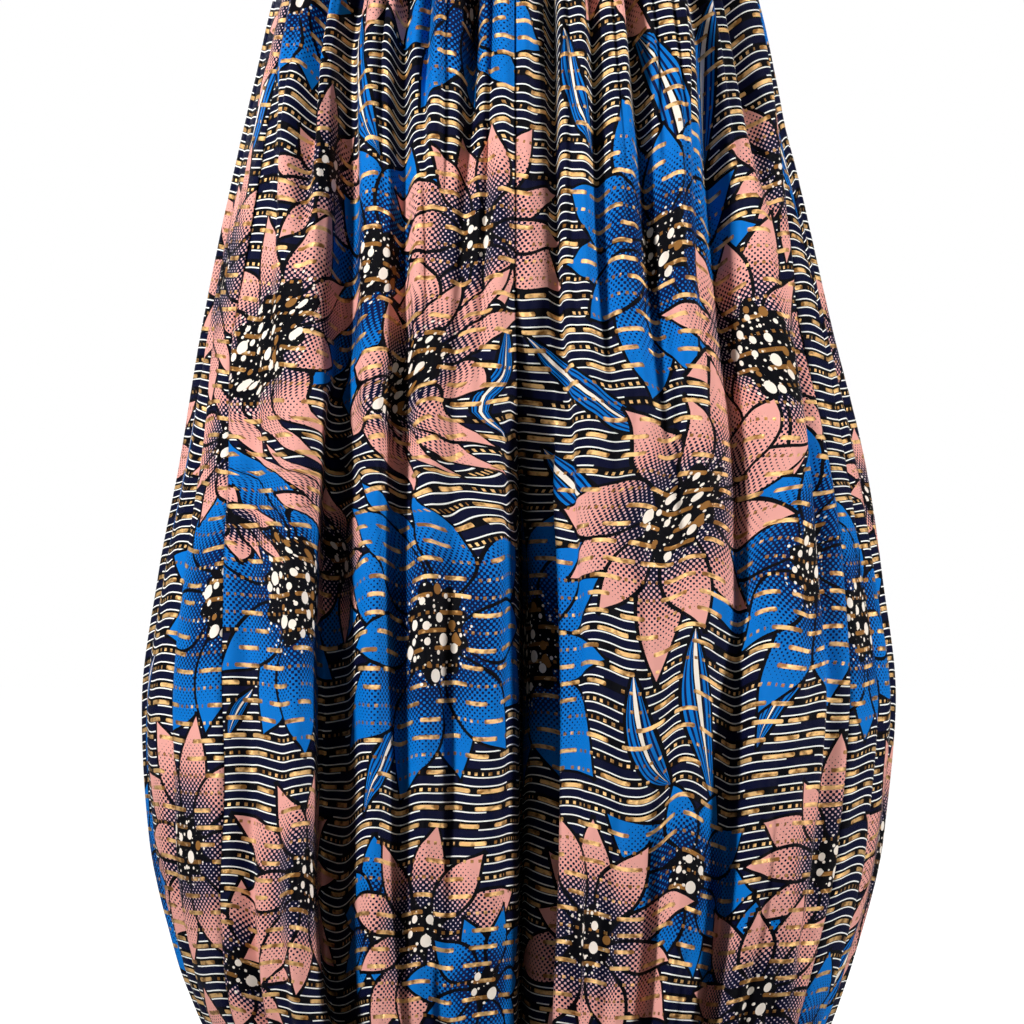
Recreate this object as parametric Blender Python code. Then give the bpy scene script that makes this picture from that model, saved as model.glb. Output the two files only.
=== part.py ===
# Balloon jumpsuit in printed cotton, in its worn form and empty inside.
# Metres, +Z up. The front faces -Y and the wearer's left is +X.
# The origin is the level at which the shoulders carry the two straps.

import math

import bmesh
import bpy
import numpy as np

# Driving sizes
CLOTH = 0.0020  # wall of every leg and bodice panel
CASING_WALL = 0.0030  # an elastic tunnel is cloth, elastic and cloth again
STRAP_WALL = 0.0024
SEAM_GAP = 0.0003  # between two pieces along a seam
SHOULDER_TO_WAIST = 0.390
WAIST_HEIGHT = 0.030  # tunnel of the waist elastic
BODICE_TOP = 0.245  # above the waist seam
LEG_DROP = 0.985  # waist seam to the ankle tunnel
CUFF_HEIGHT = 0.040
STRAP_WIDTH = 0.030
STRAP_PLACE = 0.085  # strap to centre line, at the top edge
STRAP_SPREAD = 0.012  # the straps part by this much more on the shoulder
STRAP_TUCK = 0.020  # strap end sewn inside the top edge
STRAP_SEAT = 0.0008  # from there to the cloth, whose facets are nearly flat
STRAP_LIFT = 0.0010  # height over the top edge at which the strap starts to bend
STRAP_STEPS = 16  # along the arch of a strap
STRAP_SEARCH = 400  # points between centre and side to find the strap's place

LEFT = 1
RIGHT = -1
FRONT = -1
BACK = 1
SIDES = (("left", LEFT), ("right", RIGHT))
FACES = (("front", FRONT), ("back", BACK))

# One row for each section of the trousers, measured down from the waist seam.
# front and back are the reach of the cloth from the side line, skew is how much
# wider the left side hangs than the right, meeting is where the legs touch, and inner is the
# distance from there to the inner side of each leg. square is the exponent of
# the section above the crotch: 2 is an ellipse and more is squarer.
SECTION_COLUMNS = ("drop", "half_width", "skew", "meeting", "front", "back", "inner", "square")
SECTIONS = (
    (0.000, 0.1500, 0.0000, 0.0000, 0.104, 0.104, 0.0000, 2.25),
    (0.030, 0.1730, 0.0000, 0.0000, 0.118, 0.122, 0.0000, 2.25),
    (0.064, 0.1875, 0.0000, 0.0000, 0.129, 0.136, 0.0000, 2.30),
    (0.115, 0.1990, 0.0000, 0.0000, 0.139, 0.150, 0.0000, 2.35),
    (0.218, 0.2215, 0.0010, 0.0000, 0.152, 0.166, 0.0000, 2.60),
    (0.320, 0.2430, 0.0020, 0.0000, 0.161, 0.175, 0.0000, 3.00),
    (0.422, 0.2640, 0.0030, 0.0020, 0.167, 0.180, 0.0000, 3.30),
    (0.525, 0.2825, 0.0000, 0.0035, 0.171, 0.182, 0.0010, 3.30),
    (0.627, 0.2955, -0.0010, 0.0040, 0.172, 0.182, 0.0010, 3.30),
    (0.730, 0.2880, -0.0030, 0.0040, 0.167, 0.176, 0.0010, 3.30),
    (0.832, 0.2635, -0.0035, 0.0035, 0.155, 0.162, 0.0010, 3.30),
    (0.882, 0.2455, -0.0020, 0.0030, 0.144, 0.149, 0.0015, 3.30),
    (0.922, 0.2270, 0.0000, 0.0020, 0.130, 0.133, 0.0070, 3.30),
    (0.952, 0.2050, 0.0000, 0.0010, 0.111, 0.113, 0.0190, 3.30),
    (0.972, 0.1820, 0.0000, 0.0000, 0.088, 0.089, 0.0350, 3.30),
    (0.985, 0.1580, 0.0000, 0.0000, 0.058, 0.058, 0.0530, 3.30),
)

LEGS_PART = (0.290, 0.420)  # the section changes from one oval to two
CROTCH_CURVE = (0.385, 0.520)  # the centre seams run in between the legs
BODY_ROUNDNESS = 2.25  # of the bodice and the waist
LEG_ROUNDNESS = 2.10
INNER_ROUNDNESS = {LEFT: 3.4, RIGHT: 6.5}  # the right leg lies over the left one
INNER_TURN = 0.30  # the squarer part starts where the cosine falls below this
INNER_FADE = (0.880, 0.975)  # near the ankle each leg is a plain oval
INNER_CORNER = 2.25  # angle of a leg's inner corner, where the centre seam starts inwards
CORNER_PULL = 0.60  # share of the panel that is drawn across to that seam

# Where the side seams lie, as shares of the leg's width seen from the front.
SEAM_COLUMNS = ("drop", "right", "left")
SIDE_SEAMS = (
    (0.000, 0.950, 0.975),
    (0.115, 0.935, 0.965),
    (0.270, 0.905, 0.915),
    (0.330, 0.900, 0.895),
    (0.466, 0.830, 0.895),
    (0.660, 0.765, 0.860),
    (0.860, 0.870, 0.865),
    (0.985, 0.930, 0.930),
)

# The hanging folds, one row for each valley, from the side to the centre.
# On a front panel place is a share of the leg's width, from the centre outwards,
# and on a back panel the direction from the middle of the leg, as a share of half
# a turn: 0 is sideways and 0.5 straight back. Each has a value for each station.
STATIONS = (0.115, 0.270, 0.450, 0.660, 0.860)
FOLD_COLUMNS = ("place", "depth", "spread", "lean")
FOLDS = {
    ("front", "right"): (
        ((0.895, 0.855, 0.780, 0.705, 0.790), (0.000, 0.000, 0.000, 0.003, 0.012), 0.009, 0.000),
        ((0.800, 0.710, 0.640, 0.600, 0.670), (0.026, 0.007, 0.002, 0.003, 0.004), 0.008, 0.000),
        ((0.670, 0.555, 0.495, 0.460, 0.510), (0.018, 0.018, 0.036, 0.050, 0.046), 0.015, 0.013),
        ((0.440, 0.370, 0.315, 0.300, 0.330), (0.025, 0.021, 0.014, 0.007, 0.014), 0.010, 0.000),
        ((0.165, 0.170, 0.195, 0.200, 0.200), (0.014, 0.006, 0.007, 0.007, 0.012), 0.010, 0.000),
    ),
    ("front", "left"): (
        ((0.890, 0.850, 0.780, 0.740, 0.760), (0.022, 0.007, 0.002, 0.003, 0.006), 0.009, 0.000),
        ((0.745, 0.675, 0.615, 0.545, 0.575), (0.014, 0.024, 0.021, 0.019, 0.030), 0.015, 0.004),
        ((0.470, 0.445, 0.410, 0.380, 0.375), (0.022, 0.013, 0.016, 0.006, 0.009), 0.011, 0.000),
        ((0.300, 0.275, 0.265, 0.260, 0.255), (0.011, 0.007, 0.004, 0.006, 0.008), 0.009, 0.000),
        ((0.128, 0.112, 0.122, 0.135, 0.140), (0.028, 0.013, 0.006, 0.003, 0.012), 0.011, 0.003),
    ),
    ("back", "right"): (
        ((-0.090, -0.130, -0.180, -0.200, -0.120), (0.004, 0.006, 0.006, 0.008, 0.011), 0.012, 0.000),
        ((0.100, 0.105, 0.120, 0.115, 0.130), (0.010, 0.007, 0.006, 0.005, 0.012), 0.012, 0.000),
        ((0.220, 0.240, 0.245, 0.260, 0.250), (0.016, 0.013, 0.011, 0.016, 0.020), 0.014, 0.005),
        ((0.340, 0.365, 0.390, 0.400, 0.385), (0.021, 0.018, 0.016, 0.022, 0.024), 0.013, 0.004),
        ((0.465, 0.490, 0.515, 0.540, 0.520), (0.014, 0.022, 0.020, 0.014, 0.016), 0.014, 0.000),
        ((0.590, 0.605, 0.635, 0.675, 0.650), (0.020, 0.012, 0.010, 0.009, 0.013), 0.012, 0.000),
    ),
    ("back", "left"): (
        ((-0.060, -0.120, -0.150, -0.150, -0.120), (0.003, 0.006, 0.008, 0.006, 0.009), 0.012, 0.000),
        ((0.085, 0.100, 0.105, 0.120, 0.110), (0.012, 0.010, 0.007, 0.009, 0.014), 0.013, 0.000),
        ((0.200, 0.215, 0.235, 0.230, 0.240), (0.014, 0.016, 0.013, 0.012, 0.018), 0.014, 0.000),
        ((0.320, 0.335, 0.360, 0.380, 0.360), (0.023, 0.018, 0.024, 0.028, 0.026), 0.014, 0.008),
        ((0.440, 0.465, 0.500, 0.525, 0.505), (0.016, 0.021, 0.014, 0.010, 0.014), 0.013, 0.000),
        ((0.570, 0.605, 0.640, 0.680, 0.660), (0.018, 0.010, 0.008, 0.010, 0.012), 0.012, 0.000),
    ),
}
SPREAD_AT = 0.290  # leg width at which a fold is as wide as its row says
GATHER_TOP = 0.062  # the folds grow from the waist seam to their depth here
GATHER_HEM = 0.110  # and run out over this height above the ankle
TRACK_HEIGHTS = 90  # heights at which the run of the folds is worked out
TRACK_PLACES = 500  # and places across the panel
ACROSS_STEP = 1e-4  # share of a panel, to find which way the cloth runs
DOWN_STEP = 5e-4

# Heights of the points of each panel, and their places across a fold.
ROW_DROPS = (
    0.000, 0.018, 0.045, 0.085, 0.140, 0.200, 0.265, 0.330, 0.375, 0.420, 0.470,
    0.530, 0.595, 0.660, 0.725, 0.790, 0.850, 0.900, 0.938, 0.966, 0.985,
)
FOLD_REACH = 1.7  # spreads from the bottom of a fold to its rims
FOLD_SLOPE = 0.45  # place of the points on its slopes, as a share of that
FOLD_COLUMNS_EACH = 5  # points across a fold: bottom, slopes and rims
RIDGE_SHARE = 0.84  # most that a rim may take of the way to the next ridge
LAST_RIDGE = 2.0  # spreads from the last fold to the plain cloth beyond it
SIDE_SHARES = (0.25, 0.50, 0.75)  # on a back panel, round the side between two folds
INNER_SHARES = (0.10, 0.18, 0.25, 0.32, 0.42, 0.60, 0.80, 1.0)  # last fold to inner seam

# One row for each section of the bodice, measured up from the waist seam.
BODICE_COLUMNS = ("rise", "half_width", "front", "back")
BODICE = (
    (0.030, 0.1505, 0.105, 0.105),
    (0.050, 0.1590, 0.114, 0.110),
    (0.085, 0.1600, 0.116, 0.110),
    (0.125, 0.1600, 0.121, 0.107),
    (0.165, 0.1630, 0.128, 0.104),
    (0.195, 0.1640, 0.129, 0.101),
    (0.220, 0.1620, 0.125, 0.098),
    (0.245, 0.1590, 0.119, 0.096),
)
BODICE_POINTS = 24  # across one bodice panel

# Elastic tunnels: gathers all round, each this high.
WAIST_GATHERS = 26
CUFF_GATHERS = 16
GATHER_RELIEF = 0.0009
TUNNEL_LEVELS = 3

CREASE_ANGLE = math.radians(50.0)  # sharper edges than this are shaded as edges

# Colours and finish of the cloth, as seen from a distance
NAVY = (0.012, 0.016, 0.050, 1.0)
BLUE = (0.010, 0.120, 0.500, 1.0)
ROUGHNESS = 0.55


def smooth_step(value):
    """Goes from 0 to 1 as value does, level at both ends."""
    value = np.clip(value, 0.0, 1.0)
    return value * value * (3.0 - 2.0 * value)


def fade(value, limits):
    """Goes from 0 at the first limit to 1 at the second."""
    return smooth_step((value - limits[0]) / (limits[1] - limits[0]))


def read_curve(knots, values, at):
    """A smooth curve through the knots that never passes above or below them."""
    knots = np.asarray(knots, float)
    values = np.asarray(values, float)
    width = np.diff(knots)
    rise = np.diff(values) / width
    slopes = np.zeros_like(values)
    same_way = rise[:-1] * rise[1:] > 0.0
    both = np.where(same_way, rise[:-1] + rise[1:], 1.0)
    slopes[1:-1] = np.where(same_way, 2.0 * rise[:-1] * rise[1:] / both, 0.0)
    slopes[0] = rise[0]
    slopes[-1] = rise[-1]
    at = np.clip(at, knots[0], knots[-1])
    low = np.clip(np.searchsorted(knots, at, side="right") - 1, 0, len(knots) - 2)
    step = width[low]
    s = (at - knots[low]) / step
    start = values[low] + s * s * (3.0 - 2.0 * s) * (values[low + 1] - values[low])
    return start + step * s * (1.0 - s) * ((1.0 - s) * slopes[low] - s * slopes[low + 1])


def read_table(rows, columns, name, at):
    """The named column of a table, read at distances along its first column."""
    table = np.array(rows)
    return read_curve(table[:, 0], table[:, columns.index(name)], at)


def section(name, drop):
    return read_table(SECTIONS, SECTION_COLUMNS, name, drop)


def oval(angle, half_width, front, back, roundness):
    """Point of a rounded oval; the angle runs from the side towards the front."""
    depth = np.where(np.sin(angle) > 0.0, front, back)
    across = (np.abs(np.cos(angle)) / half_width) ** roundness
    along = (np.abs(np.sin(angle)) / depth) ** roundness
    radius = (across + along) ** (-1.0 / roundness)
    return radius * np.cos(angle), -radius * np.sin(angle)


def angle_seen(share, half_width, depth, roundness):
    """Angle of the oval's point that lies at this share of its half width."""
    height = (1.0 - np.abs(share) ** roundness) ** (1.0 / roundness)
    return np.arctan2(depth * height, half_width * share)


def leg_oval(side, angle, half, front, back, drop):
    """Point of one leg's section, about its middle; its inner side is squarer."""
    inner = INNER_ROUNDNESS[side]
    inner = inner + (LEG_ROUNDNESS - inner) * fade(drop, INNER_FADE)
    inward = smooth_step(INNER_TURN - np.cos(angle))
    roundness = LEG_ROUNDNESS + (inner - LEG_ROUNDNESS) * inward
    return oval(angle, half, front, back, roundness)


def plain_point(side, u, drop):
    """Section of one side without folds: u is -1 at the centre front or inner
    seam, 0 at the side seam and 1 at the centre back or inner seam."""
    across = np.abs(u)
    forward = u < 0.0
    width = section("half_width", drop) + side * section("skew", drop)
    front = section("front", drop)
    back = section("back", drop)
    inner = section("inner", drop)
    split = fade(drop, LEGS_PART)
    turn = fade(drop, CROTCH_CURVE)
    share = read_table(SIDE_SEAMS, SEAM_COLUMNS, "left" if side == LEFT else "right", drop)
    half = (width - inner) / 2.0
    middle = (width + inner) / 2.0

    square = section("square", drop)
    torso_seam = angle_seen(share, width, front, square)
    torso_end = np.where(forward, math.pi / 2.0, -math.pi / 2.0)
    torso_angle = torso_seam + (torso_end - torso_seam) * across
    torso_x, torso_y = oval(torso_angle, width, front, back, square)

    leg_seam = angle_seen(2.0 * share - 1.0, half, front, LEG_ROUNDNESS)
    leg_end = INNER_CORNER + (math.pi - INNER_CORNER) * turn
    leg_end = np.where(forward, leg_end, -leg_end)
    leg_angle = leg_seam + (leg_end - leg_seam) * across
    leg_x, leg_y = leg_oval(side, leg_angle, half, front, back, drop)
    end_x, _ = leg_oval(side, leg_end, half, front, back, drop)
    leg_x = leg_x - (end_x + half) * smooth_step((across - CORNER_PULL) / (1.0 - CORNER_PULL))

    x = (1.0 - split) * torso_x + split * (middle + leg_x)
    y = (1.0 - split) * torso_y + split * leg_y
    return x, y


def fold_tracks(side_name, side, face_name, face):
    """Where each fold of a panel runs: its u at each of many heights, and the
    girth of the panel there."""
    drops = np.linspace(0.0, LEG_DROP, TRACK_HEIGHTS)
    across = np.linspace(0.0, 1.0, TRACK_PLACES)
    x, y = plain_point(side, face * across[None, :], drops[:, None])
    girth = np.hypot(np.diff(x, axis=1), np.diff(y, axis=1)).sum(axis=1)
    inner = section("inner", drops)
    leg_width = section("half_width", drops) + side * section("skew", drops) - inner
    if face == FRONT:
        run = (inner[:, None] - x) / leg_width[:, None]
    else:
        middle = inner + leg_width / 2.0
        run = np.arctan2(y, x - middle[:, None]) / math.pi
    run = np.maximum.accumulate(run, axis=1)
    tracks = []
    for row in FOLDS[(face_name, side_name)]:
        fold = dict(zip(FOLD_COLUMNS, row))
        place = read_curve(STATIONS, fold["place"], drops)
        if face == FRONT:
            place = -place
        at = [np.interp(p, r, across) for p, r in zip(place, run)]
        tracks.append({**fold, "at": np.array(at)})
    return {"drops": drops, "girth": girth, "leg_width": leg_width, "folds": tracks}


TRACKS = {
    (side, face): fold_tracks(side_name, side, face_name, face)
    for side_name, side in SIDES
    for face_name, face in FACES
}


def fold_place(track, fold, drop):
    """The fold's u, without its sign, and its spread as a share of the girth."""
    at = np.interp(drop, track["drops"], fold["at"])
    girth = np.interp(drop, track["drops"], track["girth"])
    leg_width = np.interp(drop, track["drops"], track["leg_width"])
    return at, fold["spread"] * leg_width / SPREAD_AT / girth


def folded_panel(side, face, across, drop):
    """Outer point of one leg panel, from its side seam, 0, to its inner end, 1."""
    x, y = plain_point(side, face * across, drop)
    x_on, y_on = plain_point(side, face * (across + ACROSS_STEP), drop)
    x_off, y_off = plain_point(side, face * (across - ACROSS_STEP), drop)
    along_x = x_on - x_off
    along_y = y_on - y_off
    length = np.hypot(along_x, along_y)
    along_x = along_x / length
    along_y = along_y / length
    track = TRACKS[(side, face)]
    ends = smooth_step(drop / GATHER_TOP) * smooth_step((LEG_DROP - drop) / GATHER_HEM)
    for fold in track["folds"]:
        at, spread = fold_place(track, fold, drop)
        valley = ends * np.exp(-(((across - at) / spread) ** 2))
        depth = read_curve(STATIONS, fold["depth"], drop) * valley
        lean = fold["lean"] * valley
        x = x - lean * along_x - face * depth * along_y
        y = y - lean * along_y + face * depth * along_x
    return section("meeting", drop) + side * x, y


def panel_surface(side, face, across, drop):
    """The same with its height below the shoulder, as one array of points."""
    x, y = folded_panel(side, face, across, drop)
    return np.stack((x, y, -SHOULDER_TO_WAIST - drop + 0.0 * x), axis=-1)


def panel_normal(side, face, across, drop):
    """Direction out of the cloth, from four near points."""
    beyond = panel_surface(side, face, across + ACROSS_STEP, drop)
    before = panel_surface(side, face, across - ACROSS_STEP, drop)
    below = panel_surface(side, face, across, drop + DOWN_STEP)
    above = panel_surface(side, face, across, drop - DOWN_STEP)
    normal = -side * face * np.cross(beyond - before, below - above)
    return normal / np.linalg.norm(normal, axis=-1, keepdims=True)


def column_places(side, face, drop):
    """Places across a panel that follow its folds, from 0 to 1, at one height."""
    track = TRACKS[(side, face)]
    valleys = [fold_place(track, fold, drop) for fold in track["folds"]]
    bottoms = [float(at) for at, _ in valleys]
    ridges = [(a + b) / 2.0 for a, b in zip(bottoms, bottoms[1:])]
    last_at, last_spread = valleys[-1]
    ridges.append(float(last_at + LAST_RIDGE * last_spread))
    places = [0.0]
    before = 0.0
    for (at, spread), ridge in zip(valleys, ridges):
        reach = FOLD_REACH * spread
        near = min(reach, RIDGE_SHARE * (at - before))
        far = min(reach, RIDGE_SHARE * (ridge - at))
        places.extend((at - near, at - FOLD_SLOPE * near, at, at + FOLD_SLOPE * far, at + far))
        before = ridge
    places.extend(before + (1.0 - before) * share for share in INNER_SHARES)
    if face == BACK:
        start, end = places[FOLD_COLUMNS_EACH], places[FOLD_COLUMNS_EACH + 1]
        round_side = [start + (end - start) * share for share in SIDE_SHARES]
        places[FOLD_COLUMNS_EACH + 1:FOLD_COLUMNS_EACH + 1] = round_side
    return [float(place) for place in places]


def leg_panel(name, side, face):
    """One leg panel from the waist to the ankle, with its edges half a seam
    gap back from the side seam and from the centre or inner seam."""
    drops = np.array(ROW_DROPS)
    across = np.array([column_places(side, face, drop) for drop in drops])
    down = np.repeat(drops[:, None], across.shape[1], axis=1)
    outer = panel_surface(side, face, across, down)
    inner = outer - CLOTH * panel_normal(side, face, across, down)
    half_gap = SEAM_GAP / 2.0
    step = outer[:, 1] - outer[:, 0]
    step[:, 2] = 0.0
    step = half_gap * step / np.linalg.norm(step, axis=-1, keepdims=True)
    end = np.array((side * half_gap, face * half_gap, 0.0))
    for layer in (outer, inner):
        layer[:, 0] += step
        layer[:, -1] += end
    return make_wall(name, outer, inner, closed=False)


def make_wall(name, outer, inner, closed):
    """A closed body from two grids of points, one row below the other. Both
    grids are cut along the same diagonals, so that the wall keeps its width."""
    rows, columns = outer.shape[:2]
    mesh = bmesh.new()
    skins = []
    for grid in (outer, inner):
        skins.append([[mesh.verts.new(point) for point in row] for row in grid])
    spans = columns if closed else columns - 1
    for row in range(rows - 1):
        for column in range(spans):
            after = (column + 1) % columns
            corners = ((row, column), (row, after), (row + 1, after), (row + 1, column))
            first = np.linalg.norm(outer[corners[0]] - outer[corners[2]])
            second = np.linalg.norm(outer[corners[1]] - outer[corners[3]])
            cut = ((0, 1, 2), (0, 2, 3)) if first <= second else ((0, 1, 3), (1, 2, 3))
            for triangle in cut:
                for skin in skins:
                    mesh.faces.new([skin[corners[i][0]][corners[i][1]] for i in triangle])
    rims = []
    for row in (0, rows - 1):
        rims.extend(((row, c), (row, (c + 1) % columns)) for c in range(spans))
    if not closed:
        for column in (0, columns - 1):
            rims.extend(((r, column), (r + 1, column)) for r in range(rows - 1))
    for (r0, c0), (r1, c1) in rims:
        outside, inside = skins
        mesh.faces.new((outside[r0][c0], outside[r1][c1], inside[r1][c1], inside[r0][c0]))
    bmesh.ops.recalc_face_normals(mesh, faces=mesh.faces)
    return place_mesh(name, mesh)


def place_mesh(name, mesh):
    """Turns a bmesh into an object in the scene, with smooth shading."""
    data = bpy.data.meshes.new(name)
    mesh.to_mesh(data)
    mesh.free()
    data.shade_smooth()
    data.set_sharp_from_angle(angle=CREASE_ANGLE)
    thing = bpy.data.objects.new(name, data)
    bpy.context.scene.collection.objects.link(thing)
    return thing


def bodice_point(angle, rise, inset):
    """Point of the bodice, moved in from its outer face by inset."""
    columns = ("half_width", "front", "back")
    half_width, front, back = (
        read_table(BODICE, BODICE_COLUMNS, name, rise) - inset for name in columns
    )
    x, y = oval(angle, half_width, front, back, BODY_ROUNDNESS)
    return np.stack((x, y, -SHOULDER_TO_WAIST + rise + 0.0 * x), axis=-1)


def bodice_panel(name, face):
    """Half of the bodice, from one side seam to the other."""
    rises = np.array([row[0] for row in BODICE][::-1])
    rises[-1] += SEAM_GAP
    angles = np.linspace(0.0, math.pi, BODICE_POINTS + 1) * (1.0 if face == FRONT else -1.0)
    grid_angle, grid_rise = np.meshgrid(angles, rises)
    outer = bodice_point(grid_angle, grid_rise, 0.0)
    inner = bodice_point(grid_angle, grid_rise, CLOTH)
    for layer in (outer, inner):
        layer[:, (0, -1), 1] = face * SEAM_GAP / 2.0
    return make_wall(name, outer, inner, closed=False)


def tunnel(name, middle, half_width, front, back, top, height, gathers, roundness):
    """A gathered elastic tunnel: a ring whose outer face rises and falls."""
    points = 2 * gathers
    angles = np.arange(points) * math.tau / points
    crest = np.where(np.arange(points) % 2 == 0, GATHER_RELIEF, 0.0)
    levels = np.linspace(0.0, 1.0, TUNNEL_LEVELS)
    swell = np.sin(math.pi * levels)
    layers = []
    for out in (crest[None, :] * swell[:, None], np.full((TUNNEL_LEVELS, points), -CASING_WALL)):
        x, y = oval(angles, half_width + out, front + out, back + out, roundness)
        z = top - height * levels[:, None] + 0.0 * x
        layers.append(np.stack((middle + x, y, z), axis=-1))
    return make_wall(name, *layers, closed=True)


def waist_casing():
    drop = np.array(0.0)
    width = float(section("half_width", drop))
    front = float(section("front", drop))
    back = float(section("back", drop))
    top = -SHOULDER_TO_WAIST + WAIST_HEIGHT
    height = WAIST_HEIGHT - SEAM_GAP
    gathers = WAIST_GATHERS
    return tunnel("waist_casing", 0.0, width, front, back, top, height, gathers, BODY_ROUNDNESS)


def ankle_cuff(name, side):
    drop = np.array(LEG_DROP)
    width = float(section("half_width", drop))
    inner = float(section("inner", drop))
    front = float(section("front", drop))
    back = float(section("back", drop))
    top = -SHOULDER_TO_WAIST - LEG_DROP - SEAM_GAP
    middle = side * (width + inner) / 2.0
    half = (width - inner) / 2.0
    return tunnel(name, middle, half, front, back, top, CUFF_HEIGHT, CUFF_GATHERS, LEG_ROUNDNESS)


def angle_at(x, rise, face):
    """Angle at which the bodice, seen from the front, is x from the centre."""
    angles = np.linspace(0.0, math.pi / 2.0, STRAP_SEARCH)
    points = bodice_point(-face * angles, np.full(STRAP_SEARCH, rise), CLOTH)
    return -face * float(np.interp(x, points[::-1, 0], angles[::-1]))


def strap(name, side):
    """A flat strap: its ends lie inside the top edge, made from the bodice's
    points moved in, and between them it is an arch over the shoulder."""
    across = np.array((-0.5, 0.0, 0.5)) * STRAP_WIDTH
    seat = CLOTH + STRAP_SEAT
    sections = []
    ends = {}
    for face in (FRONT, BACK):
        stations = []
        for above in (-STRAP_TUCK, -0.5 * STRAP_TUCK, STRAP_LIFT):
            angles = np.array([angle_at(STRAP_PLACE + a, BODICE_TOP, face) for a in across])
            rises = np.full(len(across), BODICE_TOP + above)
            out = bodice_point(angles, rises, seat)
            into = bodice_point(angles, rises, seat + STRAP_WALL)
            stations.append((out, into))
        ends[face] = stations
    front_out, front_in = ends[FRONT][-1]
    back_out, back_in = ends[BACK][-1]
    sections.extend(ends[FRONT])
    for step in range(1, STRAP_STEPS):
        turn = math.pi * step / STRAP_STEPS
        share = (1.0 - math.cos(turn)) / 2.0
        rise = math.sin(turn)
        level = smooth_step(np.array(rise))
        pair = []
        for start, finish, top in ((front_out, back_out, STRAP_WALL), (front_in, back_in, 0.0)):
            points = start + (finish - start) * share
            points[:, 2] = start[:, 2] + (top - start[:, 2]) * rise
            points[:, 0] += STRAP_SPREAD * level
            points[:, 1] += level * (points[:, 1].mean() - points[:, 1])
            pair.append(points)
        sections.append(tuple(pair))
    sections.extend(ends[BACK][::-1])
    outer = np.array([out for out, _ in sections])
    inner = np.array([into for _, into in sections])
    outer[..., 0] *= side
    inner[..., 0] *= side
    return make_wall(name, outer, inner, closed=False)


def cloth_material(name, colour):
    material = bpy.data.materials.new(name)
    material.use_nodes = True
    shader = material.node_tree.nodes["Principled BSDF"]
    shader.inputs["Base Color"].default_value = colour
    shader.inputs["Roughness"].default_value = ROUGHNESS
    shader.inputs["Metallic"].default_value = 0.0
    return material


def build():
    for thing in list(bpy.data.objects):
        bpy.data.objects.remove(thing, do_unlink=True)
    pieces = [bodice_panel(f"bodice_{name}", face) for name, face in FACES]
    pieces.append(waist_casing())
    for side_name, side in SIDES:
        pieces.append(strap(f"strap_{side_name}", side))
        pieces.append(ankle_cuff(f"cuff_{side_name}", side))
        for face_name, face in FACES:
            pieces.append(leg_panel(f"leg_{face_name}_{side_name}", side, face))
    for piece in pieces:
        colour = BLUE if piece.name.startswith("leg_front") else NAVY
        piece.data.materials.append(cloth_material(f"print_{piece.name}", colour))


build()
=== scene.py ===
# Looks of the balloon jumpsuit: its cloth as thin shells, the wax print, the studio and the camera.
# Metres, z up. The front faces -y, the wearer's left is +x, and at z = 0 the shoulders carry the straps.
import math

import bpy
import numpy as np
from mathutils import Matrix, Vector


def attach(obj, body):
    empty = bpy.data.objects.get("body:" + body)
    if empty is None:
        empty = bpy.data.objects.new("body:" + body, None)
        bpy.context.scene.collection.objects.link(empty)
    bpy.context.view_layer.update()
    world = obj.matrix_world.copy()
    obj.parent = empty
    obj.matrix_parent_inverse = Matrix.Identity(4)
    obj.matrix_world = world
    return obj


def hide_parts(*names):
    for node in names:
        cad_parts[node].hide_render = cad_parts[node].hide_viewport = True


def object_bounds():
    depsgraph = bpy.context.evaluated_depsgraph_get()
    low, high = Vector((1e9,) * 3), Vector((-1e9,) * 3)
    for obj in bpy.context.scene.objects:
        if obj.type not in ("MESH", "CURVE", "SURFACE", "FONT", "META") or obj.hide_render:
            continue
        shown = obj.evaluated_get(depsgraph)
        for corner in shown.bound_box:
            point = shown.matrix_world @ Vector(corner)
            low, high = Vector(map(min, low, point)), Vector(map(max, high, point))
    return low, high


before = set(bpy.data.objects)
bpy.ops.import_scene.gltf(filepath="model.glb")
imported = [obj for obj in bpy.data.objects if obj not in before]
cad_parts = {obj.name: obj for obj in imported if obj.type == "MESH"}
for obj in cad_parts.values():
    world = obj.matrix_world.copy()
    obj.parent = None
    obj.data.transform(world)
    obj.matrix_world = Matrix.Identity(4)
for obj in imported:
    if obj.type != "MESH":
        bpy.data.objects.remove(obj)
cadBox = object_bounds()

left, right = 1, -1
front, back = -1, 1
sideNames = {left: "left", right: "right"}
faceNames = {front: "front", back: "back"}


def addObject(name, data):
    thing = bpy.data.objects.new(name, data)
    bpy.context.scene.collection.objects.link(thing)
    return thing


# Camera and studio

photo = {
    "pixel": 0.0008,  # size of a pixel of the photograph at the garment's middle
    "pixels": 1024,
    "centreLine": 515,  # column of the photograph on the garment's centre line
    "waistAbove": 80,  # rows from the waist seam down to the top of the photograph
    "distance": 3.0,
    "sensor": 36.0,  # millimetres, as Blender has it
}

waistHeight = -0.390  # of the waist seam


# From a pixel of the photograph to the point on the plane y = 0: offset times the size of a pixel
def photoPoint(column, row):
    x = (column - photo["centreLine"]) * photo["pixel"]
    return Vector((x, 0.0, waistHeight - (row + photo["waistAbove"]) * photo["pixel"]))


# Camera straight in front, which sees the photograph's square at y = 0
def addCamera():
    middle = photoPoint(photo["pixels"] / 2, photo["pixels"] / 2)
    lens = bpy.data.cameras.new("camera")
    lens.sensor_width = photo["sensor"]
    lens.lens = photo["sensor"] * photo["distance"] / (photo["pixels"] * photo["pixel"])
    camera = addObject("camera", lens)
    camera.location = middle + Vector((0.0, -photo["distance"], 0.0))
    camera.rotation_euler = (math.pi / 2, 0.0, 0.0)
    bpy.context.scene.camera = camera
    return middle


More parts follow.
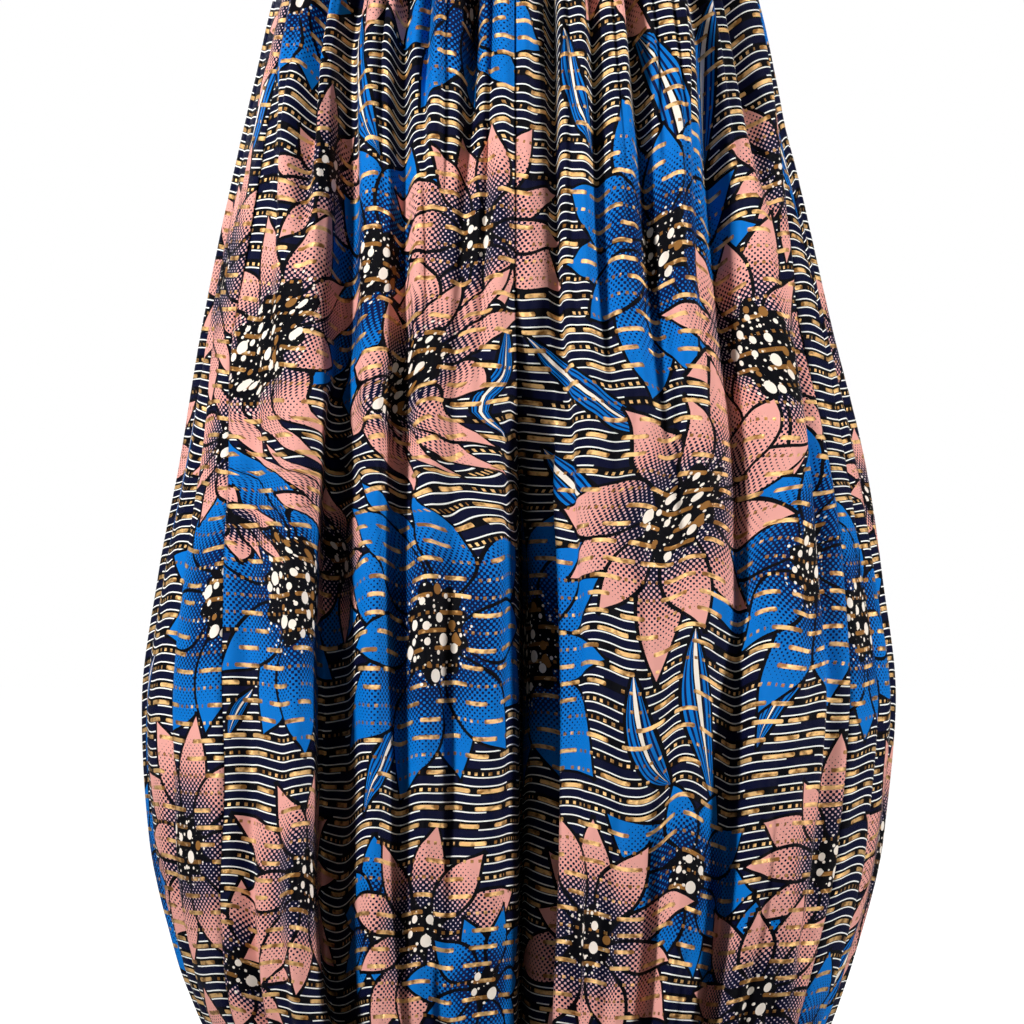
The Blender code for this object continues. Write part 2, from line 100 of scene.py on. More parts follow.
studio = {
    "floorBelow": 0.012,  # gap between the lowest cloth and the floor
    "reach": 9.0,
    "paper": {"Base Color": (0.14, 0.14, 0.14, 1.0), "Roughness": 0.9, "Specular IOR Level": 0.1},
    "white": (1.0, 1.0, 1.0, 1.0),
    "glow": 1.0,  # evens the paper out to the white of the photograph, for the camera
    "bounce": 0.004,  # of the glow, on the cloth
    "sky": 0.004,
    # place from the middle of the view, size and watts
    "lamps": {
        "keyLamp": ((-2.1, -1.8, 1.3), 0.4, 126.0),
        "fillLamp": ((2.6, -1.1, 0.7), 0.4, 86.0),
        "topLamp": ((0.1, -2.3, 1.7), 0.5, 3.0),
        "backLampLeft": ((-1.2, 2.0, 2.2), 0.4, 98.0),
        "backLampRight": ((0.9, 2.1, 2.0), 0.6, 16.0),
    },
}


# A value for what the camera sees, and another for what only lights the cloth
def seenOrLit(tree, seen, lit):
    toCamera = tree.nodes.new("ShaderNodeLightPath").outputs["Is Camera Ray"]
    return Wire(tree, toCamera) * (seen - lit) + lit


# Flat floor of pale paper, white surroundings and five soft lamps
def addStudio(middle):
    floor = float(cadBox[0][2]) - studio["floorBelow"]
    ends = np.array([-studio["reach"], studio["reach"]])
    points = np.stack(np.broadcast_arrays(ends[None, :], ends[:, None], floor), axis=-1)
    paper = gridPiece("studioPaper", points)
    material = newMaterial("studioPaper", {**studio["paper"], "Emission Color": studio["white"]})
    glow = seenOrLit(material.node_tree, studio["glow"], studio["bounce"])
    feed(material.node_tree.nodes["Principled BSDF"].inputs["Emission Strength"], glow)
    paper.data.materials.append(material)
    world = bpy.data.worlds.new("studio")
    world.use_nodes = True
    strength = seenOrLit(world.node_tree, 1.0, studio["sky"])
    feedAll(world.node_tree.nodes["Background"], {"Color": studio["white"], "Strength": strength})
    bpy.context.scene.world = world
    bpy.context.scene.view_settings.view_transform = "Standard"
    for name, (offset, size, watts) in studio["lamps"].items():
        light = bpy.data.lights.new(name, "AREA")
        light.size = size
        light.energy = watts
        lamp = addObject(name, light)
        lamp.location = middle + Vector(offset)
        lamp.rotation_euler = (-Vector(offset)).to_track_quat("-Z", "Y").to_euler()


# Surfaces

# Goes from 0 to 1 as the value does, level at both ends: 3v squared less 2v cubed
def smoothStep(value):
    value = np.clip(value, 0.0, 1.0)
    return value * value * (3.0 - 2.0 * value)


# The same between two limits
def fade(value, limits):
    return smoothStep((value - limits[0]) / (limits[1] - limits[0]))


# 0 at both seams of a panel and 1 from a small share across on
def offSeams(across, edge=0.03):
    return smoothStep(across / edge) * smoothStep((1.0 - across) / edge)


# A bell: 1 in the middle, less to both sides
def bell(value, spread):
    return np.exp(-((value / spread) ** 2))


# Length of the way from the first point to each one, down the rows or across the columns
def lengthTo(points, axis=0):
    steps = np.linalg.norm(np.diff(points, axis=axis), axis=-1)
    return np.insert(np.cumsum(steps, axis=axis), 0, 0.0, axis=axis)


# Cubic curve through the knots whose slope is the harmonic mean of the two rises, so it never overshoots
def readCurve(knots, values, at):
    knots, values = np.asarray(knots, float), np.asarray(values, float)
    width = np.diff(knots)
    rise = np.diff(values) / width
    slopes = np.zeros_like(values)
    sameWay = rise[:-1] * rise[1:] > 0.0
    both = np.where(sameWay, rise[:-1] + rise[1:], 1.0)
    slopes[1:-1] = np.where(sameWay, 2.0 * rise[:-1] * rise[1:] / both, 0.0)
    slopes[0], slopes[-1] = rise[0], rise[-1]
    at = np.clip(at, knots[0], knots[-1])
    low = np.clip(np.searchsorted(knots, at, side="right") - 1, 0, len(knots) - 2)
    step = width[low]
    s = (at - knots[low]) / step
    start = values[low] + s * s * (3.0 - 2.0 * s) * (values[low + 1] - values[low])
    return start + step * s * (1.0 - s) * ((1.0 - s) * slopes[low] - s * slopes[low + 1])


# One column of a table as such a curve over its first column
def readTable(table, name, at):
    rows = np.array(table["rows"])
    return readCurve(rows[:, 0], rows[:, table["columns"].index(name)], at)


# Rounded oval: its radius is the one at which the two shares, raised to the roundness, add up to 1
def oval(angle, halfWidth, frontDepth, backDepth, roundness):
    depth = np.where(np.sin(angle) > 0.0, frontDepth, backDepth)
    across = (np.abs(np.cos(angle)) / halfWidth) ** roundness
    along = (np.abs(np.sin(angle)) / depth) ** roundness
    radius = (across + along) ** (-1.0 / roundness)
    return radius * np.cos(angle), -radius * np.sin(angle)


# Angle of the oval's point that lies at this share of its half width
def angleSeen(share, halfWidth, depth, roundness):
    height = (1.0 - np.abs(share) ** roundness) ** (1.0 / roundness)
    return np.arctan2(depth * height, halfWidth * share)


# Mesh of quads from rows and columns of points, with the cloth's flat places, in metres, as its UV map. If
# closed, the last column is joined to the first and the flat places have one column more.
def gridPiece(name, points, flatPlace=None, closed=False, flip=False, motifs=None):
    rows, columns = points.shape[:2]
    spans = columns if closed else columns - 1
    row, column = np.meshgrid(np.arange(rows - 1), np.arange(spans), indexing="ij")
    rowOf = np.stack((row, row, row + 1, row + 1), axis=-1).reshape(-1, 4)
    columnOf = np.stack((column, column + 1, column + 1, column), axis=-1).reshape(-1, 4)
    if flip:
        rowOf, columnOf = rowOf[:, ::-1], columnOf[:, ::-1]
    mesh = bpy.data.meshes.new(name)
    mesh.from_pydata(points.reshape(-1, 3), [], rowOf * columns + columnOf % columns)
    mesh.update()
    mesh.shade_smooth()
    if flatPlace is not None:
        corners = flatPlace[rowOf, columnOf]
        mesh.uv_layers.new(name="cloth").data.foreach_set("uv", corners.astype(np.float32).ravel())
        layMotifs(mesh, corners, motifs)
    return addObject(name, mesh)


# Cloth in the place of a solid: a grid with its flat places u and v, and a wall grown inwards from it
def clothPiece(name, points, flatPlace, wall, **options):
    piece = gridPiece(name + "_cloth", points, np.stack(np.broadcast_arrays(*flatPlace), axis=-1), **options)
    solidify = piece.modifiers.new("wall", "SOLIDIFY")
    solidify.thickness = wall
    solidify.offset = -1.0
    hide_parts(name)
    return piece


# The print's motifs

# Every motif lies on the cloth at across and down, in metres from the piece's own zero, with its reach, its
# turn in degrees, petals and seed. disc is the share of the reach that the dark middle takes.
motifKinds = {"leaf": 1, "pink": 2, "blue": 3}
motifColumns = ("kind", "across", "down", "reach", "turn", "petals", "seed", "disc")
leafEnd = (5, 0, 0.0)  # a leaf's last three columns, which don't change its look
motifNear = 1.05  # reaches from its middle within which a motif is looked for
faceMargin = (1.5, 0.0015)  # a motif covers a face that it touches: in sizes of the face, and metres more
petalShape = {
    "lengthEven": 0.90,  # of the reach, give or take lengthVaries
    "lengthVaries": 0.11,
    "lengthPaces": (2.4, 1.7, 5.0),  # by petal, seed and ring, of the sine that makes each petal unlike
    "widthVaries": 0.16,
    "widthPaces": (2.9, 1.3),
    "rings": ((0.5, 1.0), (0.0, 0.90)),  # turn in sectors and length; the second lies over the first
    "sway": 0.10,  # how far a petal leans, as a share of its sector
    "swayPaces": (1.9, 2.3),
    "base": 0.18,  # share of its length at which a petal begins
    "baseBend": 1.02,
    "tipBend": {"pink": 1.25, "blue": 1.20},
    "fullness": {"pink": 0.79, "blue": 0.95},  # half width before both bends, as a share of the length
    "heart": 0.40,  # share of the reach inside which the gaps between petals are dark
    "leafWidth": 0.20,
    "leafBend": 0.16,
}


# One ring of petals, for arrays and for the shader alike: gap to the nearest petal's edge, share of its
# length and gap to its neighbour. A petal's half width is its share of length past the base, raised to the
# baseBend, times what is left of it, raised to the tipBend. Sines of the petal's number make each unlike.
def petalRing(angle, radius, petals, seed, shift, ringLength, tipBend, fullness):
    turn = angle * petals * (1 / math.tau) + shift
    number = calc("FLOOR", turn + 0.5)
    place = turn - number
    number = calc("FLOORED_MODULO", number, petals)
    byPetal, bySeed, byRing = petalShape["lengthPaces"]
    wave = calc("SINE", number * byPetal + seed * bySeed + shift * byRing)
    length = (wave * petalShape["lengthVaries"] + petalShape["lengthEven"]) * ringLength
    sector = calc("DIVIDE", math.tau, petals)
    byPetal, bySeed = petalShape["swayPaces"]
    bent = (place - calc("SINE", number * byPetal + seed * bySeed) * petalShape["sway"]) * sector
    along = radius * calc("COSINE", bent)
    share = clamped((along / length - petalShape["base"]) / (1.0 - petalShape["base"]))
    width = fullness * length * share ** petalShape["baseBend"] * (1.0 - share) ** tipBend
    byPetal, bySeed = petalShape["widthPaces"]
    width = width * (calc("SINE", number * byPetal + seed * bySeed) * petalShape["widthVaries"] + 1.0)
    gap = calc("ABSOLUTE", radius * calc("SINE", bent)) - width
    rim = (0.5 - calc("ABSOLUTE", place)) * sector * radius
    return calc("MAXIMUM", gap, along - length), share, rim


# A leaf in the same way, along x and bent: gap to its edge and place across it. Its half width is 1 less x
# squared.
def leafShape(x, y):
    bow = 1.0 - x * x
    vein = y - bow * petalShape["leafBend"]
    width = calc("MAXIMUM", bow, 0.0001) * petalShape["leafWidth"]
    return calc("MAXIMUM", calc("ABSOLUTE", vein) - width, calc("ABSOLUTE", x) - 1.0), vein / width


# Distance outside a motif's edge, as a share of its reach
def motifGap(x, y, motif):
    kind = motif["kind"]
    if kind == "leaf":
        return leafShape(x, y)[0]
    radius, angle = np.hypot(x, y), np.arctan2(y, x)
    gap = radius - petalShape["heart"]
    for ring in petalShape["rings"]:
        bends = (petalShape["tipBend"][kind], petalShape["fullness"][kind])
        gap = np.minimum(gap, petalRing(angle, radius, motif["petals"], motif["seed"], *ring, *bends)[0])
    return gap


# Each face learns its uppermost motif and the one below it, as places measured in the motif's own reach.
# The shader draws petals from these, so that a petal's edge doesn't depend on the size of the faces.
def layMotifs(mesh, corners, motifs):
    faces = len(corners)
    chosen = np.full((2, faces), -1)
    rows = [dict(zip(motifColumns, row)) for row in motifs or ()]
    middle = corners.mean(axis=1)
    margin = np.abs(corners - middle[:, None]).max(axis=(1, 2)) * faceMargin[0] + faceMargin[1]
    for index, motif in enumerate(rows):
        place = toMotif(middle, motif)
        near = np.hypot(place[:, 0], place[:, 1]) < motifNear
        gap = motifGap(place[:, 0], place[:, 1], motif)
        touched = near & (gap * motif["reach"] < margin)
        chosen[1] = np.where(touched, chosen[0], chosen[1])
        chosen[0] = np.where(touched, index, chosen[0])
    for layer, name in enumerate(("upper", "lower")):
        place = np.zeros((faces, 4, 3), np.float32)
        traits = np.zeros((faces, 4, 3), np.float32)
        for index, motif in enumerate(rows):
            picked = chosen[layer] == index
            place[picked, :, :2] = toMotif(corners[picked], motif)
            place[picked, :, 2] = motif["reach"]
            traits[picked] = (motifKinds[motif["kind"]] + motif["disc"], motif["petals"], motif["seed"])
        for part, values in (("Place", place), ("Traits", traits)):
            attribute = mesh.attributes.new(name + part, "FLOAT_VECTOR", "CORNER")
            attribute.data.foreach_set("vector", values.ravel())


# Turns and scales a place on the cloth into the motif's own axes
def toMotif(place, motif):
    turn = math.radians(motif["turn"])
    x, y = place[..., 0] - motif["across"], place[..., 1] - motif["down"]
    across = (x * math.cos(turn) + y * math.sin(turn)) / motif["reach"]
    down = (y * math.cos(turn) - x * math.sin(turn)) / motif["reach"]
    return np.stack((across, down), axis=-1)


# Node trees

# A value in a node tree; arithmetic on it adds Math nodes
class Wire:
    def __init__(self, tree, socket):
        self.tree, self.socket = tree, socket

    def __add__(self, other):
        return calc("ADD", self, other)

    def __sub__(self, other):
        return calc("SUBTRACT", self, other)

    def __rsub__(self, other):
        return calc("SUBTRACT", other, self)

    def __mul__(self, other):
        return calc("MULTIPLY", self, other)

    def __truediv__(self, other):
        return calc("DIVIDE", self, other)

    def __pow__(self, other):
        return calc("POWER", self, other)

    def __lt__(self, other):
        return calc("LESS_THAN", self, other)

    def __gt__(self, other):
        return calc("GREATER_THAN", self, other)

    __radd__ = __add__
    __rmul__ = __mul__


def feed(socket, value):
    if isinstance(value, Wire):
        value.tree.links.new(value.socket, socket)
    else:
        socket.default_value = value


def feedAll(node, values):
    for name, value in dict(values).items():
        feed(node.inputs[name], value)


# New shader node with its settings, and a value or a wire for each of its inputs that is named
def newNode(tree, kind, settings, values):
    node = tree.nodes.new("ShaderNode" + kind)
    for name, value in settings.items():
        setattr(node, name, value)
    feedAll(node, values)
    return node


def newMaterial(name, values):
    material = bpy.data.materials.new(name)
    material.use_nodes = True
    feedAll(material.node_tree.nodes["Principled BSDF"], values)
    return material


plainCalc = {
    "ABSOLUTE": np.abs,
    "COSINE": np.cos,
    "DIVIDE": np.divide,
    "FLOOR": np.floor,
    "FLOORED_MODULO": np.mod,
    "MAXIMUM": np.maximum,
    "MINIMUM": np.minimum,
    "SINE": np.sin,
}


# A Math node for wires, and the same sum at once for plain numbers and arrays
def calc(operation, *values):
    trees = [value.tree for value in values if isinstance(value, Wire)]
    if not trees:
        return plainCalc[operation](*values)
    return Wire(trees[0], newNode(trees[0], "Math", {"operation": operation}, enumerate(values)).outputs[0])


def clamped(value):
    return calc("MINIMUM", calc("MAXIMUM", value, 0.0), 1.0)


# Under where the mask is 0, over where it is 1; kind is FLOAT, VECTOR or RGBA
def pick(mask, under, over, kind="RGBA"):
    first, result = {"FLOAT": (2, 0), "VECTOR": (4, 1), "RGBA": (6, 2)}[kind]
    node = newNode(mask.tree, "Mix", {"data_type": kind}, {0: mask, first: under, first + 1: over})
    return Wire(mask.tree, node.outputs[result])


def split(vector, kind="SeparateXYZ"):
    return [Wire(vector.tree, output) for output in newNode(vector.tree, kind, {}, {0: vector}).outputs]


def join(x, y, z=0.0):
    return Wire(x.tree, newNode(x.tree, "CombineXYZ", {}, {0: x, 1: y, 2: z}).outputs[0])


# Three even random values for each whole pair of numbers
def chance(x, y):
    node = newNode(x.tree, "TexWhiteNoise", {"noise_dimensions": "3D"}, {"Vector": join(x, y, 0.5)})
    return split(Wire(x.tree, node.outputs["Color"]), "SeparateColor")


# Cloudy value around a half
def cloud(vector, dimensions, scale, detail):
    values = {"Vector": vector, "Scale": scale, "Detail": detail}
    node = newNode(vector.tree, "TexNoise", {"noise_dimensions": dimensions}, values)
    return Wire(vector.tree, node.outputs[0])


# New node group from the names and kinds of its sockets: gives wires for the inputs, and the output node
def newGroup(name, inputs, outputs):
    tree = bpy.data.node_groups.new(name, "ShaderNodeTree")
    for way, sockets in (("INPUT", inputs), ("OUTPUT", outputs)):
        for socketName, kind in sockets.items():
            tree.interface.new_socket(socketName, in_out=way, socket_type="NodeSocket" + kind)
    start = tree.nodes.new("NodeGroupInput")
    return {name: Wire(tree, start.outputs[name]) for name in inputs}, tree.nodes.new("NodeGroupOutput")


def useGroup(tree, name, values):
    node = newNode(tree, "Group", {"node_tree": bpy.data.node_groups[name]}, values)
    return {output.name: Wire(tree, output) for output in node.outputs}


# The print

def buildPetalRing():
    inputs = dict.fromkeys(("Angle", "Radius", "Petals", "Seed", "Shift", "Length", "Blue"), "Float")
    wires, end = newGroup("petalRing", inputs, dict.fromkeys(("Gap", "Along", "Rim"), "Float"))
    *ring, blue = wires.values()
    bends = (pick(blue, *petalShape[name].values(), "FLOAT") for name in ("tipBend", "fullness"))
    feedAll(end, enumerate(petalRing(*ring, *bends)))


# lengths in metres; where two values stand for pink and blue petals, pink comes first
wax = {
    "outline": 0.0025,  # width of the dark line round petals and leaves
    "outlineOver": 0.15,  # share of it that lies inside the edge
    "petalRim": 0.6,  # width of the line between neighbouring petals, in outlines
    "linePitch": 0.00668,
    "lineWidth": 0.00052,  # half of a white line
    "lineCell": 0.031,  # now and then one such length of a line is left out
    "lineShift": 9.0,  # cells by which rows are out of step at most
    "lineMissing": 0.10,  # how often
    "draws": (3.0, 0.37),  # keep the chances of the lines and of the bars apart
    "dotPitch": 0.0045,
    "dotsFrom": (0.80, 0.78),  # share of the petal's length below which dots grow, until they meet
    "dotsOver": 0.62,
    "dotShare": (0.84, 0.80),  # of the petal's colour that they take at most
    "paleFrom": 0.44,  # a pink petal turns lilac below this share
    "paleOver": 0.30,
    "leafLines": (17.0, 3.0, 0.35),  # pace across and along, and the level above which they are dark
    "rib": (0.05, 0.28, 0.30, 0.10),  # aside, half width at the foot, that with its edge, edge at the tip
    "barCell": 0.0305,
    "barShift": 7.0,
    "barStart": 0.0010,
    "barEnd": (0.0175, 0.0105),  # at least, and what chance adds
    "barHeight": (0.0023, 0.0056),  # of a gold bar, below the line above it
    "barCorner": 0.0013,
    "squares": 0.28,  # how often squares stand in place of a bar
    "squareHeight": (0.0027, 0.0052),
    "squarePitch": 0.0064,
    "squareWidth": 0.0026,
    "squaresEnd": 0.0270,
    # painted highlight on the gold rows: cloudy brighter and browner patches of this scale, detail, contrast
    # and level stand in for glints of the foil
    "paintedGlintScale": (120.0, 170.0),
    "paintedGlintDetail": 2.0,
    "paintedGlintContrast": 4.2,
    "paintedGlintLevel": -2.0,
    "paintedShadeAtBarEnds": (0.005, 0.9),  # painted shade: a bar's ends are darker within this length, by so much, so that its middle shows as a painted highlight
    "foilOnPetals": (0.25, 0.5),  # how much darker gold is there, and squares once more
    "foilShare": 0.96,
    "disc": (1.12, 0.88),  # the dark middle is an oval
    "ragged": (9.0, 0.12),  # waves round it and their height
    "seedScatter": 0.75,
    "seedCell": 0.0122,
    "seedSize": (0.0010, 0.0050),
    "seedPlace": (1.08, 0.90),
    "seedReach": 0.95,  # of the disc
    "seedDark": 0.78,  # share of the seeds that are pale, the others are gold
    "speckCell": 0.0064,
    "speckSize": (0.0001, 0.0013),
    "speckReach": 1.25,
    "night": (0.0010, 0.0010, 0.0025, 1.0),
    "navy": (0.0022, 0.0035, 0.022, 1.0),
    "white": (0.86, 0.86, 0.82, 1.0),
    "cobalt": (0.001, 0.150, 0.520, 1.0),
    "deepBlue": (0.001, 0.007, 0.055, 1.0),
    "pink": (0.760, 0.350, 0.300, 1.0),
    "lilac": (0.700, 0.560, 0.640, 1.0),
    "cream": (0.850, 0.760, 0.660, 1.0),
    "gold": (0.960, 0.590, 0.240, 1.0),
    "darkGold": (0.270, 0.120, 0.030, 1.0),
}


# One motif as seen by a point of the cloth: whether it covers it, its outline, the share along the petal or
# leaf and, on a leaf, the place across it
def buildMotif():
    outputs = dict.fromkeys(("Cover", "Ink", "Along", "Vein"), "Float")
    wires, end = newGroup("motif", {"Place": "Vector", "Traits": "Vector"}, outputs)
    x, y, reach = split(wires["Place"])
    kind, petals, seed = split(wires["Traits"])
    isFlower = kind > motifKinds["pink"]
    radius = calc("SQRT", x * x + y * y)
    values = {"Angle": calc("ARCTAN2", y, x), "Radius": radius, "Petals": petals, "Seed": seed}
    values["Blue"] = kind > motifKinds["blue"]
    behind, before = (
        useGroup(x.tree, "petalRing", {**values, "Shift": shift, "Length": length})
        for shift, length in petalShape["rings"]
    )
    edge = calc("DIVIDE", wax["outline"], reach)
    inBefore = before["Gap"] < edge
    petalGap, petalRim, petalAlong = (
        pick(inBefore, behind[name], before[name], "FLOAT") for name in ("Gap", "Rim", "Along")
    )
    leafGap, vein = leafShape(x, y)
    gap = pick(isFlower, leafGap, petalGap, "FLOAT")
    rim = pick(isFlower, 1.0, petalRim, "FLOAT")
    inHeart = (radius < petalShape["heart"]) * isFlower
    cover = calc("MAXIMUM", gap < edge, inHeart) * (kind > 0.5)
    ink = calc("MAXIMUM", gap > edge * -wax["outlineOver"], rim < edge * wax["petalRim"])
    along = pick(isFlower, (x + 1.0) * 0.5, petalAlong, "FLOAT")
    feedAll(end, {"Cover": cover, "Ink": ink, "Along": along, "Vein": vein})


# Round seeds scattered over a flower's middle: cells of a Voronoi pattern, up to a distance of their own
# middles from the flower's. The second value is a chance for each seed.
def seeds(place, cell, sizes, limit=None):
    values = {"Vector": place, "Scale": 1.0 / cell, "Randomness": wax["seedScatter"]}
    node = newNode(place.tree, "TexVoronoi", {"voronoi_dimensions": "2D"}, values)
    distance, colour, middle = (Wire(place.tree, node.outputs[n]) for n in ("Distance", "Color", "Position"))
    sizeChance, tint, _ = split(colour, "SeparateColor")
    mask = distance < sizeChance * ((sizes[1] - sizes[0]) / cell) + sizes[0] / cell
    if limit is not None:
        toMiddle = newNode(place.tree, "VectorMath", {"operation": "LENGTH"}, {0: middle})
        mask = mask * (Wire(place.tree, toMiddle.outputs["Value"]) < limit)
    return mask, tint


# Ground: white lines at every pitch, here and there broken, over navy and near-black bands in turn
def stripedGround(u, v):
    pitch = wax["linePitch"]
    row = calc("FLOOR", v / pitch + 0.5)
    toLine = calc("ABSOLUTE", calc("FRACT", v / pitch + 0.5) - 0.5) * pitch
    shift, _, _ = chance(row, wax["draws"][0])
    drawn, _, _ = chance(calc("FLOOR", u / wax["lineCell"] + shift * wax["lineShift"]), row)
    bands = pick(calc("FRACT", v / (2 * pitch)) > 0.5, wax["navy"], wax["night"])
    return pick((toLine < wax["lineWidth"]) * (drawn > wax["lineMissing"]), bands, wax["white"])


# Petals: plain tips, and towards the middle dots that grow until they meet
def petalColour(u, v, along, isBlue):
    turns = math.tau / wax["dotPitch"]
    dots = calc("COSINE", u * turns) * calc("COSINE", v * turns)
    shade = clamped((pick(isBlue, *wax["dotsFrom"], "FLOAT") - along) / wax["dotsOver"])
    amount = shade * pick(isBlue, *wax["dotShare"], "FLOAT")
    pale = pick(clamped((wax["paleFrom"] - along) / wax["paleOver"]), wax["pink"], wax["lilac"])
    petal = pick(isBlue, pale, wax["cobalt"])
    return pick(dots > 1.0 - 2.0 * amount, petal, pick(isBlue, wax["navy"], wax["deepBlue"]))


# Leaves: cobalt with dark lines along them and a pale, dark-edged rib that narrows to the tip
def leafColour(along, vein):
    paceAcross, paceAlong, level = wax["leafLines"]
    lines = calc("SINE", calc("ABSOLUTE", vein) * paceAcross + along * paceAlong) > level
    leaf = pick(lines, wax["cobalt"], wax["deepBlue"])
    aside, paleWidth, darkWidth, darkTip = wax["rib"]
    toRib = calc("ABSOLUTE", vein + aside)
    leaf = pick(toRib < (1.0 - along) * darkWidth + darkTip, leaf, wax["night"])
    return pick(toRib < (1.0 - along) * paleWidth, leaf, wax["cream"])


# Gold rows in every other band: round-cornered bars, or here and there small squares. Also the way to the
# bar's end and whether squares stand there.
def goldRows(u, v):
    pitch = 2 * wax["linePitch"]
    row = calc("FLOOR", v / pitch)
    below = (calc("FRACT", v / pitch) - 0.5) * pitch
    shift, _, _ = chance(row, row * wax["draws"][1])
    place = u / wax["barCell"] + shift * wax["barShift"]
    cell = calc("FLOOR", place)
    inCell = (place - cell) * wax["barCell"]
    whichKind, barLength, _ = chance(cell, row)
    barEnd = barLength * wax["barEnd"][1] + wax["barEnd"][0]
    toEnd = calc("MINIMUM", inCell - wax["barStart"], barEnd - inCell)
    corner = wax["barCorner"]
    top, bottom = wax["barHeight"]
    aside = calc("MAXIMUM", corner - toEnd, 0.0)
    above = calc("ABSOLUTE", below - (top + bottom) / 2.0) - (bottom - top) / 2.0
    above = calc("MAXIMUM", above + corner, 0.0)
    bar = calc("SQRT", aside * aside + above * above) < corner
    inSquare = calc("FRACT", inCell / wax["squarePitch"]) * wax["squarePitch"]
    square = (inSquare < wax["squareWidth"]) * (inCell < wax["squaresEnd"])
    square = square * (below > wax["squareHeight"][0]) * (below < wax["squareHeight"][1])
    gold = pick(whichKind > wax["squares"], square, bar, "FLOAT")
    return gold, toEnd, whichKind < wax["squares"]


# The whole print: ground, motifs, gold rows across everything with painted highlights on them, and seeds
# over the flowers' middles
def buildPrint():
    inputs = dict.fromkeys(("Cloth", "UpperPlace", "UpperTraits", "LowerPlace", "LowerTraits"), "Vector")
    wires, end = newGroup("waxPrint", inputs, {"Color": "Color", "Gold": "Float"})
    u, v, _ = split(wires["Cloth"])
    lower, upper = (
        useGroup(u.tree, "motif", {part: wires[layer + part] for part in ("Place", "Traits")})
        for layer in ("Lower", "Upper")
    )
    top = upper["Cover"]
    cover = calc("MAXIMUM", top, lower["Cover"])
    ink, along, vein = (pick(top, lower[name], upper[name], "FLOAT") for name in ("Ink", "Along", "Vein"))
    place, traits = (
        pick(top, wires["Lower" + part], wires["Upper" + part], "VECTOR") for part in ("Place", "Traits")
    )
    x, y, reach = split(place)
    kind, _, seed = split(traits)
    disc = calc("FRACT", kind)
    isFlower = kind > motifKinds["pink"]
    isBlue = kind > motifKinds["blue"]

    motif = pick(isFlower, leafColour(along, vein), petalColour(u, v, along, isBlue))
    motif = pick(ink, motif, wax["night"])
    ragged = calc("SINE", calc("ARCTAN2", y, x) * wax["ragged"][0] + seed) * wax["ragged"][1] + 1.0
    oblong = calc("SQRT", (x * wax["disc"][0]) ** 2.0 + (y * wax["disc"][1]) ** 2.0)
    inDisc = (oblong < disc * ragged) * isFlower
    motif = pick(inDisc, motif, wax["night"])
    colour = pick(cover, stripedGround(u, v), motif)

    gold, toEnd, isSquare = goldRows(u, v)
    # Painted highlight: the gold is brighter and browner in cloudy patches, and brighter in a bar's middle
    # than at its ends, in place of the foil's glints. Over petals, squares and discs the printed gold is
    # darker.
    paintedGlintAndPrintTone = cloud(join(u * wax["paintedGlintScale"][0], v * wax["paintedGlintScale"][1]), "2D", 1.0, wax["paintedGlintDetail"])
    paintedGlintAndPrintTone = paintedGlintAndPrintTone * wax["paintedGlintContrast"] + wax["paintedGlintLevel"]
    paintedGlintAndPrintTone = paintedGlintAndPrintTone + clamped(toEnd / wax["paintedShadeAtBarEnds"][0]) * wax["paintedShadeAtBarEnds"][1]
    darker, squaresDarker = wax["foilOnPetals"]
    paintedGlintAndPrintTone = clamped(paintedGlintAndPrintTone - cover * darker - cover * isSquare * squaresDarker - inDisc * cover)
    colour = pick(gold * wax["foilShare"], colour, pick(paintedGlintAndPrintTone, wax["darkGold"], wax["gold"]))

    isFlower = isFlower * cover
    specks, _ = seeds(join(x * reach + seed, y * reach), wax["speckCell"], wax["speckSize"])
    specks = specks * (oblong < disc * wax["speckReach"]) * isFlower
    middle = join(x * reach * wax["seedPlace"][0], y * reach * wax["seedPlace"][1])
    big, tint = seeds(middle, wax["seedCell"], wax["seedSize"], disc * reach * wax["seedReach"])
    big = big * isFlower
    colour = pick(specks, colour, wax["cream"])
    colour = pick(big, colour, pick(tint > wax["seedDark"], wax["cream"], wax["darkGold"]))
    feedAll(end, {"Color": colour, "Gold": gold * (1.0 - big)})


cotton = {
    "roughness": 0.46,
    "goldRoughness": 0.34,
    "goldMetal": 0.60,
    "look": {"Specular IOR Level": 0.06, "Sheen Weight": 0.01, "Sheen Roughness": 0.40},
    "threadPitch": 0.00055,
    "threadHeight": 0.00006,
    "crumpleSize": 26.0,
    "crumpleStretch": (1.8, 0.6),
    "crumpleDetail": 3.0,
    "crumpleHeight": 0.0011,
}


